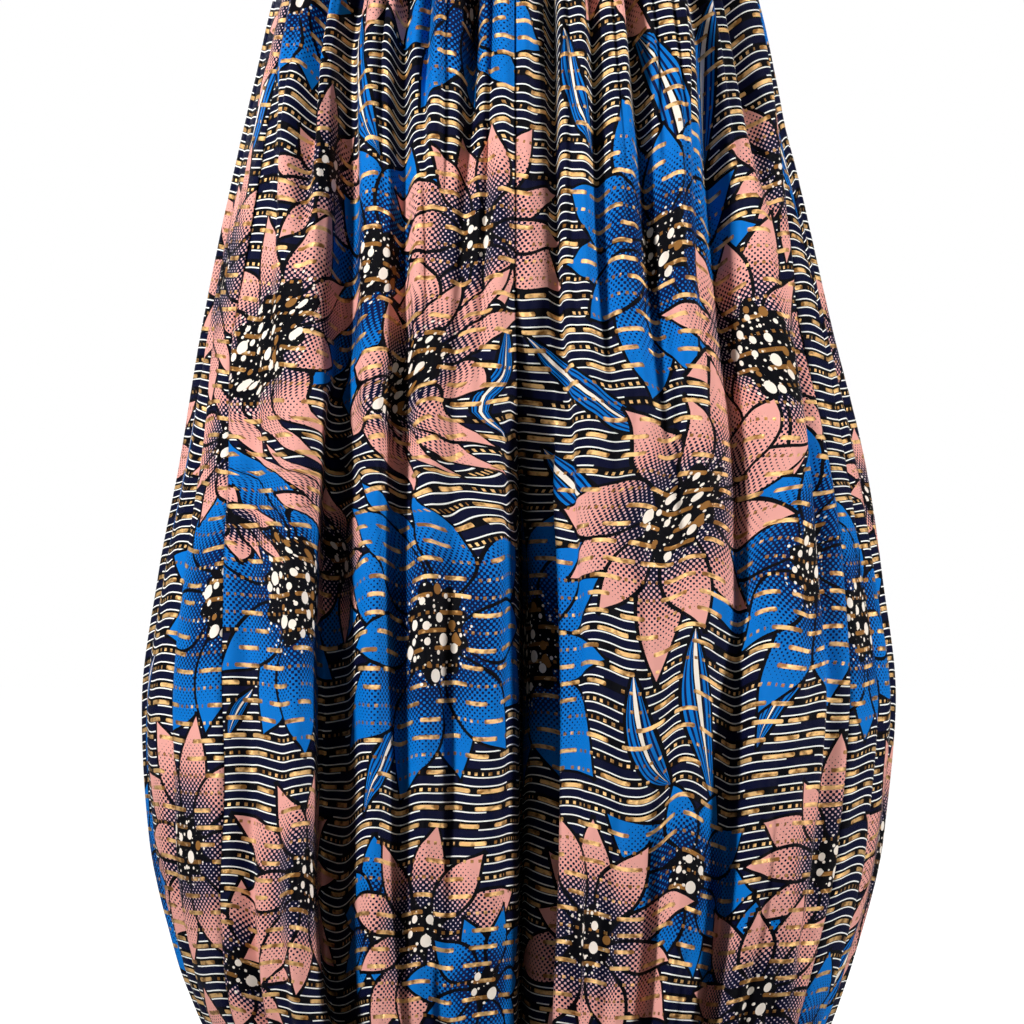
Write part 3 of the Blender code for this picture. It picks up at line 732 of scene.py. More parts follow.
# Cotton with the print, a fine plain weave and a slight crumple
def printedCotton():
    buildPetalRing()
    buildMotif()
    buildPrint()
    material = newMaterial("printedCotton", cotton["look"])
    tree = material.node_tree
    flat = Wire(tree, newNode(tree, "UVMap", {"uv_map": "cloth"}, {}).outputs["UV"])
    values = {"Cloth": flat}
    for layer in ("upper", "lower"):
        for part in ("Place", "Traits"):
            node = newNode(tree, "Attribute", {"attribute_name": layer + part}, {})
            values[layer.capitalize() + part] = Wire(tree, node.outputs["Vector"])
    printed = useGroup(tree, "waxPrint", values)
    u, v, _ = split(flat)
    turns = math.tau / cotton["threadPitch"]
    weave = calc("SINE", u * turns) * calc("SINE", v * turns)
    stretched = join(u * cotton["crumpleStretch"][0], v * cotton["crumpleStretch"][1])
    crumple = cloud(stretched, "3D", cotton["crumpleSize"], cotton["crumpleDetail"])
    height = weave * cotton["threadHeight"] + crumple * cotton["crumpleHeight"]
    bump = newNode(tree, "Bump", {}, {"Distance": 1.0, "Strength": 1.0, "Height": height})
    looks = {
        "Base Color": printed["Color"],
        "Roughness": pick(printed["Gold"], cotton["roughness"], cotton["goldRoughness"], "FLOAT"),
        "Metallic": printed["Gold"] * cotton["goldMetal"],
        "Normal": Wire(tree, bump.outputs["Normal"]),
    }
    feedAll(tree.nodes["Principled BSDF"], looks)
    return material


# Where the flowers and leaves are. A flower's row has motifColumns, and those that lie below come first.

seen = {
    "foremost": 0.0001,  # how much a nearer place is preferred, as an area for each metre of depth
    "depth": 0.10,  # nothing further back is seen from the front
    "leafReach": 0.525,  # of the distance between a leaf's ends
}

# Flowers placed as the camera sees them: metres from the centre line and below the waist seam. The two that
# cross the centre front come again on the left panel, where their petals have to meet.
flowersSeen = {
    (front, left): (
        ("pink", -0.04, 0.252, 0.102, -5, 6, 9, 0.16),
        ("blue", -0.073, 0.054, 0.12, 20, 5, 1, 0.16),
        ("pink", 0.082, 0.014, 0.094, 10, 5, 2, 0.19),
        ("pink", 0.214, 0.202, 0.077, 60, 5, 6, 0.21),
        ("blue", 0.116, 0.264, 0.131, 25, 6, 8, 0.18),
        ("pink", 0.2, 0.344, 0.117, 20, 6, 11, 0.29),
        ("blue", 0.012, 0.582, 0.142, 10, 6, 13, 0.24),
        ("blue", 0.238, 0.514, 0.132, 14, 6, 18, 0.22),
        ("pink", 0.132, 0.476, 0.126, 5, 6, 19, 0.24),
        ("blue", 0.176, 0.852, 0.076, 22, 5, 21, 0.16),
        ("blue", 0.14, 0.762, 0.09, 35, 5, 25, 0.19),
        ("pink", 0.252, 0.756, 0.104, 0, 6, 26, 0.16),
        ("pink", 0.192, 0.864, 0.104, 12, 6, 27, 0.16),
        ("pink", 0.058, 0.814, 0.112, 8, 6, 28, 0.19),
    ),
    (front, right): (
        ("blue", -0.036, 0.064, 0.12, 20, 5, 1, 0.16),
        ("pink", -0.102, 0.022, 0.08, 30, 5, 3, 0.19),
        ("blue", -0.172, 0.056, 0.094, 40, 5, 4, 0.18),
        ("pink", -0.148, 0.202, 0.074, 15, 5, 5, 0.21),
        ("blue", -0.11, 0.274, 0.12, 8, 5, 7, 0.2),
        ("pink", -0.028, 0.252, 0.102, -5, 6, 9, 0.16),
        ("pink", -0.199, 0.34, 0.12, 12, 6, 10, 0.34),
        ("pink", -0.089, 0.372, 0.106, 33, 6, 12, 0.29),
        ("blue", -0.172, 0.532, 0.142, 30, 6, 14, 0.27),
        ("pink", -0.137, 0.509, 0.083, 25, 5, 15, 0.21),
        ("pink", -0.236, 0.474, 0.05, 15, 5, 16, 0.16),
        ("blue", -0.064, 0.57, 0.144, -8, 6, 17, 0.22),
        ("blue", -0.112, 0.804, 0.068, 10, 5, 20, 0.16),
        ("pink", -0.076, 0.808, 0.1, 18, 5, 22, 0.16),
        ("pink", -0.212, 0.838, 0.076, 40, 5, 23, 0.24),
        ("pink", -0.166, 0.768, 0.11, -3, 6, 24, 0.19),
        ("blue", -0.024, 0.852, 0.072, 5, 5, 29, 0.16),
    ),
    (back, left): (
        ("pink", 0.286, 0.464, 0.076, 40, 5, 35, 0.24),
        ("blue", 0.276, 0.56, 0.112, 10, 6, 36, 0.24),
        ("pink", 0.268, 0.328, 0.072, 0, 5, 37, 0.16),
    ),
    (back, right): (
        ("blue", -0.223, 0.538, 0.132, 20, 5, 30, 0.24),
        ("pink", -0.226, 0.416, 0.072, 50, 5, 31, 0.24),
        ("pink", -0.263, 0.742, 0.12, 5, 6, 32, 0.19),
        ("pink", -0.222, 0.48, 0.051, 15, 5, 33, 0.16),
        ("blue", -0.214, 0.304, 0.056, 70, 5, 34, 0.16),
    ),
}

# Leaves seen from the front, by their two ends in the same measures
leavesSeen = {
    (front, left): (
        (0.03, 0.088, 0.078, 0.178), (0.138, 0.221, 0.094, 0.076), (0.17, 0.068, 0.146, 0.186),
        (0.014, 0.333, 0.105, 0.406), (-0.001, 0.422, 0.102, 0.466), (0.14, 0.576, 0.169, 0.7),
        (0.238, 0.584, 0.201, 0.658), (0.094, 0.608, 0.126, 0.7),
    ),
    (front, right): (
        (-0.172, 0.06, -0.198, 0.131), (-0.14, 0.056, -0.102, 0.186), (-0.012, 0.413, -0.036, 0.328),
        (-0.078, 0.634, -0.124, 0.714), (-0.207, 0.616, -0.23, 0.652),
    ),
}

# Flowers and leaves of the back and the bodice, laid on the cloth: metres across and down on the panel, and
# for a leaf its reach and turn
flowersLaid = {
    (back, left): (
        ("blue", -0.22, 0.08, 0.11, 10, 5, 19, 0.14),
        ("pink", -0.02, 0.07, 0.11, 25, 6, 20, 0.18),
        ("blue", 0.19, 0.06, 0.105, 5, 5, 21, 0.16),
        ("pink", 0.37, 0.1, 0.11, 40, 5, 22, 0.18),
        ("blue", 0.03, 0.28, 0.115, 12, 6, 23, 0.18),
        ("pink", 0.24, 0.25, 0.12, 0, 6, 24, 0.19),
        ("blue", 0.41, 0.33, 0.11, 30, 5, 25, 0.16),
        ("pink", 0.12, 0.46, 0.125, 18, 6, 26, 0.21),
        ("blue", 0.33, 0.53, 0.12, 8, 6, 27, 0.19),
        ("blue", 0, 0.66, 0.12, 33, 5, 28, 0.18),
        ("pink", 0.23, 0.68, 0.12, 5, 6, 29, 0.19),
        ("pink", -0.12, 0.76, 0.12, 20, 6, 30, 0.19),
        ("pink", 0.41, 0.78, 0.11, 12, 5, 31, 0.18),
        ("blue", 0.1, 0.83, 0.11, 0, 6, 32, 0.16),
        ("pink", -0.03, 0.96, 0.1, 30, 5, 33, 0.16),
        ("blue", 0.28, 0.9, 0.11, 15, 5, 34, 0.16),
        ("blue", -0.22, 0.93, 0.1, 8, 5, 35, 0.16),
        ("pink", 0.42, 0.97, 0.1, 5, 5, 36, 0.16),
    ),
    (back, right): (
        ("pink", 0.21, 0.07, 0.105, 15, 5, 26, 0.18),
        ("blue", 0.03, 0.06, 0.11, 30, 5, 27, 0.16),
        ("pink", -0.17, 0.09, 0.115, 8, 6, 28, 0.19),
        ("blue", -0.37, 0.06, 0.11, 20, 5, 29, 0.16),
        ("pink", 0.16, 0.29, 0.11, 5, 6, 30, 0.18),
        ("blue", -0.1, 0.27, 0.12, 22, 6, 31, 0.18),
        ("pink", -0.32, 0.27, 0.12, 12, 6, 32, 0.21),
        ("pink", -0.02, 0.44, 0.115, 35, 5, 33, 0.19),
        ("blue", -0.21, 0.5, 0.125, 0, 6, 34, 0.19),
        ("pink", -0.41, 0.48, 0.11, 28, 5, 35, 0.18),
        ("pink", -0.06, 0.66, 0.12, 10, 6, 36, 0.19),
        ("blue", -0.29, 0.72, 0.12, 15, 6, 37, 0.18),
        ("blue", 0.06, 0.78, 0.115, 5, 5, 38, 0.16),
        ("pink", -0.17, 0.86, 0.115, 25, 6, 39, 0.19),
        ("pink", -0.41, 0.87, 0.11, 0, 6, 0, 0.16),
        ("blue", -0.04, 0.97, 0.1, 12, 5, 1, 0.16),
        ("pink", 0.22, 0.95, 0.1, 18, 5, 2, 0.16),
        ("blue", -0.29, 0.98, 0.1, 40, 5, 3, 0.16),
    ),
    front: (
        ("blue", -0.17, 0.1, 0.09, 10, 5, 18, 0.16),
        ("pink", 0.03, 0.1, 0.105, 5, 6, 19, 0.19),
        ("blue", 0.18, 0.18, 0.085, 25, 5, 20, 0.16),
        ("pink", -0.1, 0.23, 0.09, 35, 5, 21, 0.18),
    ),
    back: (
        ("pink", -0.18, 0.06, 0.09, 20, 5, 11, 0.18),
        ("blue", -0.02, 0.13, 0.1, 0, 6, 12, 0.18),
        ("pink", 0.15, 0.11, 0.1, 12, 6, 13, 0.19),
        ("blue", 0.08, 0.24, 0.08, 30, 5, 14, 0.16),
    ),
}

leavesLaid = {
    (back, left): (
        (-0.19, 0.2, 0.075, 70), (0.1, 0.13, 0.07, 115), (0.02, 0.52, 0.075, 60), (0.3, 0.4, 0.07, 100),
        (0.13, 0.68, 0.07, 75), (-0.16, 0.86, 0.07, 110), (0.36, 0.73, 0.06, 80), (0.05, 0.93, 0.06, 95),
    ),
    (back, right): (
        (0.18, 0.17, 0.075, 110), (-0.08, 0.15, 0.07, 65), (-0.26, 0.42, 0.075, 105), (0.11, 0.45, 0.07, 70),
        (-0.14, 0.72, 0.07, 95), (0.05, 0.9, 0.065, 60), (-0.38, 0.66, 0.065, 85), (0.13, 0.65, 0.06, 120),
    ),
    front: (
        (-0.05, 0.06, 0.06, 60), (0.17, 0.1, 0.06, 115),
    ),
    back: (
        (0.06, 0.05, 0.06, 110), (-0.15, 0.17, 0.06, 70),
    ),
}


# Where a seen place lies on the cloth. Every grid point is carried along the camera's ray to the plane y = 0
# and the nearest one, or of several the foremost, gives u and v. What is left over is added to them.
def printedPlace(across, down, points, u, v):
    eye = bpy.context.scene.camera.location
    stretch = -eye.y / (points[..., 1] - eye.y)
    x = eye.x + (points[..., 0] - eye.x) * stretch
    seenDown = waistHeight - eye.z - (points[..., 2] - eye.z) * stretch
    low = max(down, photo["waistAbove"] * photo["pixel"])
    cost = (x - across) ** 2 + (seenDown - low) ** 2 + seen["foremost"] * points[..., 1]
    cost = np.where(points[..., 1] > seen["depth"], np.inf, cost)
    at = np.unravel_index(np.argmin(cost), cost.shape)
    return float(u[at] + across - x[at]), float(v[at] + down - seenDown[at])


# Motifs of one panel, leaves below flowers; grid is the panel's points, u and v
def panelMotifs(panel, *grid):
    leaves = []
    for fromX, fromDown, toX, toDown in leavesSeen.get(panel, ()):
        alongX, alongDown = toX - fromX, toDown - fromDown
        place = printedPlace((fromX + toX) / 2.0, (fromDown + toDown) / 2.0, *grid)
        reach = seen["leafReach"] * math.hypot(alongX, alongDown)
        leaves.append((*place, reach, math.degrees(math.atan2(alongDown, alongX))))
    leaves += leavesLaid.get(panel, ())
    flowers = []
    for kind, across, down, *rest in flowersSeen.get(panel, ()):
        flowers.append((kind, *printedPlace(across, down, *grid), *rest))
    flowers += flowersLaid.get(panel, ())
    return [("leaf", *row, *leafEnd) for row in leaves] + flowers


# Legs

legs = {
    "drop": 0.985,  # from the waist seam to the cuff
    "legsPart": (0.290, 0.420),  # drops between which the one oval turns into two
    "crotchCurve": (0.385, 0.520),  # drops between which the inner seam turns to the leg's inside
    "roundness": 2.10,
    "innerRoundness": {left: 3.4, right: 6.5},  # of the half towards the other leg
    "innerTurn": 0.30,
    "innerFade": (0.880, 0.975),
    "innerCorner": 2.25,  # angle of the panels' meeting above the crotch
    "cornerPull": 0.60,  # share across from which the cloth is drawn to the meeting
    "spreadAt": 0.290,  # width of a leg for which the folds' spreads are given
    "gatherTop": 0.062,  # lengths over which folds start at the waist and end at the hem
    "gatherHem": 0.110,
    "seamGap": -0.0004,  # the edges cross, so that no light comes through a seam
    "tuck": 0.0010,  # how far the upper and lower edge reach into the tunnels
    "wall": 0.0007,
    "columns": 150,
    "rows": 250,
    "trackHeights": 90,
    "trackPlaces": 500,
    "columnChoice": 1501,  # places from which those of the columns are chosen
    "columnDepth": 0.010,  # fold depth that draws as many columns again to a fold
    "columnLimits": (0.3, 3.0),
    "columnSpread": 1.5,
    "step": 1e-4,
    "middle": {front: 0.42, back: 0.40},  # share across at which u is 0
    "stripeRise": (0.013, 0.007),  # how far lines climb from a valley to a ridge, near the waist and below
    "riseDepth": 0.020,  # fold depth for which that is
    "riseFade": (0.22, 0.46),
    "creaseClimb": 0.25,
    "sag": (0.0030, 0.078, 9.0, 13.0),  # of the lines between folds: height, length and how both vary down
    "sagVaries": 0.35,
    "sagSlant": 8.0,
    "sagWander": 1.4,
    "levelTop": 0.15,
    "levelEnd": 0.05,  # the lines are level where a panel meets its twin
    "topGathers": {front: (12, 0.0026, 0.050), back: (19, 0.0028, 0.055)},  # count, depth and reach
    "hemGathers": {front: (9, 0.0030, 0.060), back: (14, 0.0030, 0.065)},
    "gatherSeeds": (1.3, 2.1),
    "seamPinch": (0.0018, 0.0035),  # depth and spread
    "centrePinch": 0.3,  # the same at the centre, as a share
    "bow": 0.0034,  # how far both inner walls bow to the left, so that no light shows between the legs
    "bowFrom": (0.6, 1.0),
    "bowDepth": 0.045,
}

legSections = {
    "columns": ("drop", "halfWidth", "skew", "meeting", "front", "back", "inner", "square"),
    "rows": (
        (0.000, 0.1500, 0.0000, 0.0000, 0.104, 0.104, 0.0000, 2.25),
        (0.030, 0.1730, 0.0000, 0.0000, 0.118, 0.122, 0.0000, 2.25),
        (0.064, 0.1875, 0.0000, 0.0000, 0.129, 0.136, 0.0000, 2.30),
        (0.115, 0.1990, 0.0000, 0.0000, 0.139, 0.150, 0.0000, 2.35),
        (0.218, 0.2215, 0.0010, 0.0000, 0.152, 0.166, 0.0000, 2.60),
        (0.320, 0.2430, 0.0020, 0.0000, 0.161, 0.175, 0.0000, 3.00),
        (0.422, 0.2640, 0.0030, 0.0020, 0.167, 0.180, 0.0000, 3.30),
        (0.525, 0.2825, 0.0000, 0.0035, 0.171, 0.182, 0.0010, 3.30),
        (0.627, 0.2955, -0.0010, 0.0040, 0.172, 0.182, 0.0010, 3.30),
        (0.730, 0.2880, -0.0030, 0.0040, 0.167, 0.176, 0.0010, 3.30),
        (0.832, 0.2635, -0.0035, 0.0035, 0.155, 0.162, 0.0010, 3.30),
        (0.882, 0.2455, -0.0020, 0.0030, 0.144, 0.149, 0.0015, 3.30),
        (0.922, 0.2270, 0.0000, 0.0020, 0.130, 0.133, 0.0070, 3.30),
        (0.952, 0.2050, 0.0000, 0.0010, 0.111, 0.113, 0.0190, 3.30),
        (0.972, 0.1820, 0.0000, 0.0000, 0.088, 0.089, 0.0350, 3.30),
        (0.985, 0.1580, 0.0000, 0.0000, 0.058, 0.058, 0.0530, 3.30),
    ),
}

# share of the leg's width, seen from the front, at which the side seam lies
sideSeams = {
    "columns": ("drop", "right", "left"),
    "rows": (
        (0.000, 0.950, 0.975),
        (0.115, 0.935, 0.965),
        (0.270, 0.905, 0.915),
        (0.330, 0.900, 0.895),
        (0.466, 0.830, 0.895),
        (0.660, 0.765, 0.860),
        (0.860, 0.870, 0.865),
        (0.985, 0.930, 0.930),
    ),
}

# Folds from the side to the centre: place and depth at each station down the leg, spread and lean.
# On a front panel the place is a share of the leg's width, on a back panel the direction from its middle.
stations = (0.115, 0.270, 0.450, 0.660, 0.860)
foldColumns = ("place", "depth", "spread", "lean")
folds = {
    (front, right): (
        ((0.895, 0.855, 0.780, 0.705, 0.790), (0.000, 0.000, 0.000, 0.003, 0.012), 0.009, 0.000),
        ((0.800, 0.710, 0.640, 0.600, 0.670), (0.026, 0.007, 0.002, 0.003, 0.004), 0.008, 0.000),
        ((0.670, 0.555, 0.495, 0.460, 0.510), (0.018, 0.018, 0.036, 0.050, 0.046), 0.015, 0.013),
        ((0.440, 0.370, 0.315, 0.300, 0.330), (0.025, 0.021, 0.014, 0.007, 0.014), 0.010, 0.000),
        ((0.165, 0.170, 0.195, 0.200, 0.200), (0.014, 0.006, 0.007, 0.007, 0.012), 0.010, 0.000),
    ),
    (front, left): (
        ((0.890, 0.850, 0.780, 0.740, 0.760), (0.022, 0.007, 0.002, 0.003, 0.006), 0.009, 0.000),
        ((0.745, 0.675, 0.615, 0.545, 0.575), (0.014, 0.024, 0.021, 0.019, 0.030), 0.015, 0.004),
        ((0.470, 0.445, 0.410, 0.380, 0.375), (0.022, 0.013, 0.016, 0.006, 0.009), 0.011, 0.000),
        ((0.300, 0.275, 0.265, 0.260, 0.255), (0.011, 0.007, 0.004, 0.006, 0.008), 0.009, 0.000),
        ((0.128, 0.112, 0.122, 0.135, 0.140), (0.028, 0.013, 0.006, 0.003, 0.012), 0.011, 0.003),
    ),
    (back, right): (
        ((-0.090, -0.130, -0.180, -0.200, -0.120), (0.004, 0.006, 0.006, 0.008, 0.011), 0.012, 0.000),
        ((0.100, 0.105, 0.120, 0.115, 0.130), (0.010, 0.007, 0.006, 0.005, 0.012), 0.012, 0.000),
        ((0.220, 0.240, 0.245, 0.260, 0.250), (0.016, 0.013, 0.011, 0.016, 0.020), 0.014, 0.005),
        ((0.340, 0.365, 0.390, 0.400, 0.385), (0.021, 0.018, 0.016, 0.022, 0.024), 0.013, 0.004),
        ((0.465, 0.490, 0.515, 0.540, 0.520), (0.014, 0.022, 0.020, 0.014, 0.016), 0.014, 0.000),
        ((0.590, 0.605, 0.635, 0.675, 0.650), (0.020, 0.012, 0.010, 0.009, 0.013), 0.012, 0.000),
    ),
    (back, left): (
        ((-0.060, -0.120, -0.150, -0.150, -0.120), (0.003, 0.006, 0.008, 0.006, 0.009), 0.012, 0.000),
        ((0.085, 0.100, 0.105, 0.120, 0.110), (0.012, 0.010, 0.007, 0.009, 0.014), 0.013, 0.000),
        ((0.200, 0.215, 0.235, 0.230, 0.240), (0.014, 0.016, 0.013, 0.012, 0.018), 0.014, 0.000),
        ((0.320, 0.335, 0.360, 0.380, 0.360), (0.023, 0.018, 0.024, 0.028, 0.026), 0.014, 0.008),
        ((0.440, 0.465, 0.500, 0.525, 0.505), (0.016, 0.021, 0.014, 0.010, 0.014), 0.013, 0.000),
        ((0.570, 0.605, 0.640, 0.680, 0.660), (0.018, 0.010, 0.008, 0.010, 0.012), 0.012, 0.000),
    ),
}

# Rounded ridges and creases that are too fine for the solids, in the same form; a negative depth is a ridge
creases = {
    (front, right): (
        ((0.665, 0.550, 0.490, 0.450, 0.500), (0.010, 0.016, 0.012, 0.008, 0.010), 0.014, -0.008),
        ((0.700, 0.590, 0.524, 0.486, 0.536), (0.010, 0.014, 0.016, 0.024, 0.028), 0.007, 0.005),
        ((0.880, 0.740, 0.630, 0.560, 0.630), (-0.010, -0.011, -0.014, -0.016, -0.014), 0.014, 0.000),
        ((0.559, 0.479, 0.410, 0.378, 0.412), (-0.009, -0.010, -0.009, -0.007, -0.006), 0.012, 0.001),
        ((0.281, 0.314, 0.256, 0.241, 0.174), (-0.011, -0.009, -0.007, -0.006, -0.010), 0.014, 0.000),
        ((0.040, 0.048, 0.088, 0.083, 0.101), (-0.009, -0.010, -0.012, -0.010, -0.006), 0.013, 0.000),
        ((0.450, 0.380, 0.345, 0.292, 0.330), (-0.014, -0.003, 0.017, 0.018, -0.002), 0.010, 0.002),
        ((0.345, 0.320, 0.290, 0.260, 0.280), (0.009, 0.003, 0.000, 0.000, 0.002), 0.010, 0.000),
        ((0.165, 0.170, 0.158, 0.158, 0.200), (0.012, 0.000, 0.001, 0.016, 0.000), 0.010, 0.000),
        ((0.900, 0.870, 0.766, 0.705, 0.807), (0.003, 0.005, 0.009, 0.009, 0.007), 0.015, 0.000),
        ((0.864, 0.800, 0.720, 0.650, 0.720), (0.005, 0.003, 0.000, 0.000, 0.003), 0.005, 0.000),
        ((0.743, 0.640, 0.570, 0.540, 0.590), (0.006, 0.004, 0.001, 0.002, 0.004), 0.006, 0.001),
        ((0.580, 0.470, 0.410, 0.385, 0.430), (0.005, 0.006, 0.005, 0.003, 0.004), 0.006, 0.000),
        ((0.520, 0.430, 0.365, 0.340, 0.375), (0.007, 0.003, 0.002, 0.003, 0.003), 0.004, 0.000),
        ((0.345, 0.295, 0.262, 0.252, 0.270), (0.005, 0.006, 0.004, 0.001, 0.003), 0.005, 0.000),
        ((0.265, 0.235, 0.225, 0.225, 0.232), (0.006, 0.002, 0.000, 0.003, 0.005), 0.005, 0.001),
        ((0.090, 0.100, 0.110, 0.110, 0.120), (0.007, 0.005, 0.003, 0.002, 0.004), 0.005, 0.000),
    ),
    (front, left): (
        ((0.953, 0.852, 0.768, 0.694, 0.792), (-0.009, -0.011, -0.010, -0.008, -0.010), 0.018, 0.000),
        ((0.640, 0.524, 0.507, 0.612, 0.610), (-0.012, -0.009, -0.005, -0.007, -0.008), 0.012, 0.000),
        ((0.398, 0.348, 0.369, 0.422, 0.430), (-0.010, -0.009, -0.008, -0.009, -0.007), 0.013, 0.001),
        ((0.251, 0.218, 0.221, 0.259, 0.304), (-0.010, -0.011, -0.010, -0.006, -0.009), 0.014, 0.000),
        ((0.128, 0.112, 0.110, 0.110, 0.115), (-0.006, 0.000, 0.003, 0.006, 0.004), 0.011, 0.002),
        ((0.060, 0.058, 0.055, 0.050, 0.055), (0.000, 0.000, 0.008, 0.022, 0.010), 0.013, 0.004),
        ((0.745, 0.690, 0.640, 0.530, 0.560), (0.004, 0.003, 0.004, 0.012, 0.010), 0.011, 0.000),
        ((0.470, 0.445, 0.410, 0.390, 0.385), (0.000, -0.002, -0.011, -0.002, 0.004), 0.011, 0.000),
        ((0.078, 0.068, 0.060, 0.055, 0.055), (0.010, 0.004, 0.004, 0.010, 0.004), 0.006, 0.003),
        ((0.900, 0.880, 0.850, 0.820, 0.800), (0.000, 0.004, 0.012, 0.012, 0.004), 0.010, 0.000),
        ((0.470, 0.445, 0.440, 0.380, 0.375), (0.002, 0.003, 0.000, 0.000, 0.006), 0.010, 0.000),
        ((0.030, 0.035, 0.040, 0.045, 0.050), (-0.006, -0.005, -0.004, -0.002, -0.003), 0.012, 0.000),
        ((0.830, 0.770, 0.700, 0.660, 0.680), (0.006, 0.003, 0.001, 0.002, 0.004), 0.005, 0.000),
        ((0.680, 0.600, 0.545, 0.490, 0.510), (0.007, 0.005, 0.002, 0.003, 0.003), 0.005, 0.000),
        ((0.625, 0.555, 0.500, 0.450, 0.460), (0.008, 0.003, 0.001, 0.001, 0.004), 0.004, 0.001),
        ((0.560, 0.505, 0.455, 0.415, 0.415), (0.005, 0.006, 0.004, 0.002, 0.002), 0.005, 0.000),
        ((0.385, 0.360, 0.335, 0.315, 0.310), (0.008, 0.004, 0.003, 0.003, 0.004), 0.005, 0.000),
        ((0.215, 0.190, 0.190, 0.195, 0.195), (0.007, 0.006, 0.002, 0.001, 0.004), 0.006, 0.000),
        ((0.050, 0.050, 0.055, 0.060, 0.065), (0.007, 0.003, 0.001, 0.002, 0.003), 0.005, 0.000),
    ),
    (back, right): (
        ((0.030, 0.030, 0.035, 0.030, 0.030), (-0.007, -0.009, -0.008, -0.007, -0.008), 0.018, 0.000),
        ((0.165, 0.172, 0.180, 0.185, 0.190), (-0.009, -0.008, -0.006, -0.009, -0.010), 0.016, 0.001),
        ((0.280, 0.300, 0.318, 0.330, 0.318), (-0.010, -0.009, -0.010, -0.011, -0.009), 0.015, 0.000),
        ((0.403, 0.428, 0.452, 0.470, 0.452), (-0.009, -0.012, -0.010, -0.008, -0.007), 0.016, 0.000),
        ((0.528, 0.548, 0.575, 0.608, 0.585), (-0.011, -0.008, -0.007, -0.008, -0.009), 0.015, 0.000),
        ((0.010, 0.000, -0.020, -0.030, 0.010), (0.004, 0.003, 0.001, 0.001, 0.004), 0.006, 0.000),
        ((0.150, 0.165, 0.178, 0.186, 0.190), (0.010, 0.009, 0.005, 0.004, 0.010), 0.007, 0.002),
        ((0.232, 0.254, 0.262, 0.278, 0.268), (0.006, 0.010, 0.013, 0.014, 0.012), 0.007, 0.003),
        ((0.352, 0.379, 0.404, 0.414, 0.398), (0.010, 0.013, 0.010, 0.012, 0.014), 0.007, 0.003),
        ((0.478, 0.503, 0.528, 0.553, 0.532), (0.008, 0.012, 0.014, 0.008, 0.008), 0.007, 0.002),
    ),
    (back, left): (
        ((0.010, 0.020, 0.020, 0.015, 0.010), (-0.008, -0.007, -0.009, -0.006, -0.008), 0.017, 0.000),
        ((0.143, 0.158, 0.170, 0.175, 0.175), (-0.010, -0.009, -0.007, -0.008, -0.009), 0.015, 0.000),
        ((0.260, 0.275, 0.298, 0.305, 0.300), (-0.008, -0.010, -0.011, -0.009, -0.010), 0.016, 0.001),
        ((0.380, 0.400, 0.430, 0.452, 0.432), (-0.011, -0.009, -0.008, -0.010, -0.008), 0.015, 0.000),
        ((0.505, 0.535, 0.570, 0.602, 0.582), (-0.009, -0.010, -0.009, -0.007, -0.009), 0.016, 0.000),
        ((0.020, -0.010, -0.030, -0.020, 0.000), (0.005, 0.002, 0.002, 0.001, 0.003), 0.006, 0.000),
        ((0.212, 0.228, 0.248, 0.244, 0.253), (0.010, 0.012, 0.008, 0.006, 0.012), 0.007, 0.002),
        ((0.262, 0.275, 0.295, 0.305, 0.300), (0.008, 0.006, 0.002, 0.002, 0.006), 0.006, 0.000),
        ((0.333, 0.348, 0.373, 0.393, 0.373), (0.012, 0.010, 0.015, 0.016, 0.014), 0.007, 0.004),
        ((0.452, 0.478, 0.512, 0.537, 0.518), (0.008, 0.013, 0.010, 0.005, 0.008), 0.007, 0.002),
    ),
}


def section(name, drop):
    return readTable(legSections, name, drop)


# Oval of one leg, squarer towards the other leg
def legOval(side, angle, half, frontDepth, backDepth, drop):
    inner = legs["innerRoundness"][side]
    inner = inner + (legs["roundness"] - inner) * fade(drop, legs["innerFade"])
    inward = smoothStep(legs["innerTurn"] - np.cos(angle))
    roundness = legs["roundness"] + (inner - legs["roundness"]) * inward
    return oval(angle, half, frontDepth, backDepth, roundness)


# Section of one side without folds: one oval above that turns into one for each leg. u is -1 at the centre
# front or inner seam, 0 at the side seam and 1 at the centre back.
def plainPoint(side, u, drop):
    across = np.abs(u)
    forward = u < 0.0
    width = section("halfWidth", drop) + side * section("skew", drop)
    frontDepth, backDepth = section("front", drop), section("back", drop)
    inner = section("inner", drop)
    parted = fade(drop, legs["legsPart"])
    turned = fade(drop, legs["crotchCurve"])
    share = readTable(sideSeams, sideNames[side], drop)
    half = (width - inner) / 2.0
    middle = (width + inner) / 2.0
    square = section("square", drop)
    torsoSeam = angleSeen(share, width, frontDepth, square)
    torsoEnd = np.where(forward, math.pi / 2.0, -math.pi / 2.0)
    torsoX, torsoY = oval(torsoSeam + (torsoEnd - torsoSeam) * across, width, frontDepth, backDepth, square)
    legSeam = angleSeen(2.0 * share - 1.0, half, frontDepth, legs["roundness"])
    legEnd = legs["innerCorner"] + (math.pi - legs["innerCorner"]) * turned
    legEnd = np.where(forward, legEnd, -legEnd)
    legX, legY = legOval(side, legSeam + (legEnd - legSeam) * across, half, frontDepth, backDepth, drop)
    endX, _ = legOval(side, legEnd, half, frontDepth, backDepth, drop)
    legX = legX - (endX + half) * smoothStep((across - legs["cornerPull"]) / (1.0 - legs["cornerPull"]))
    return (1.0 - parted) * torsoX + parted * (middle + legX), (1.0 - parted) * torsoY + parted * legY


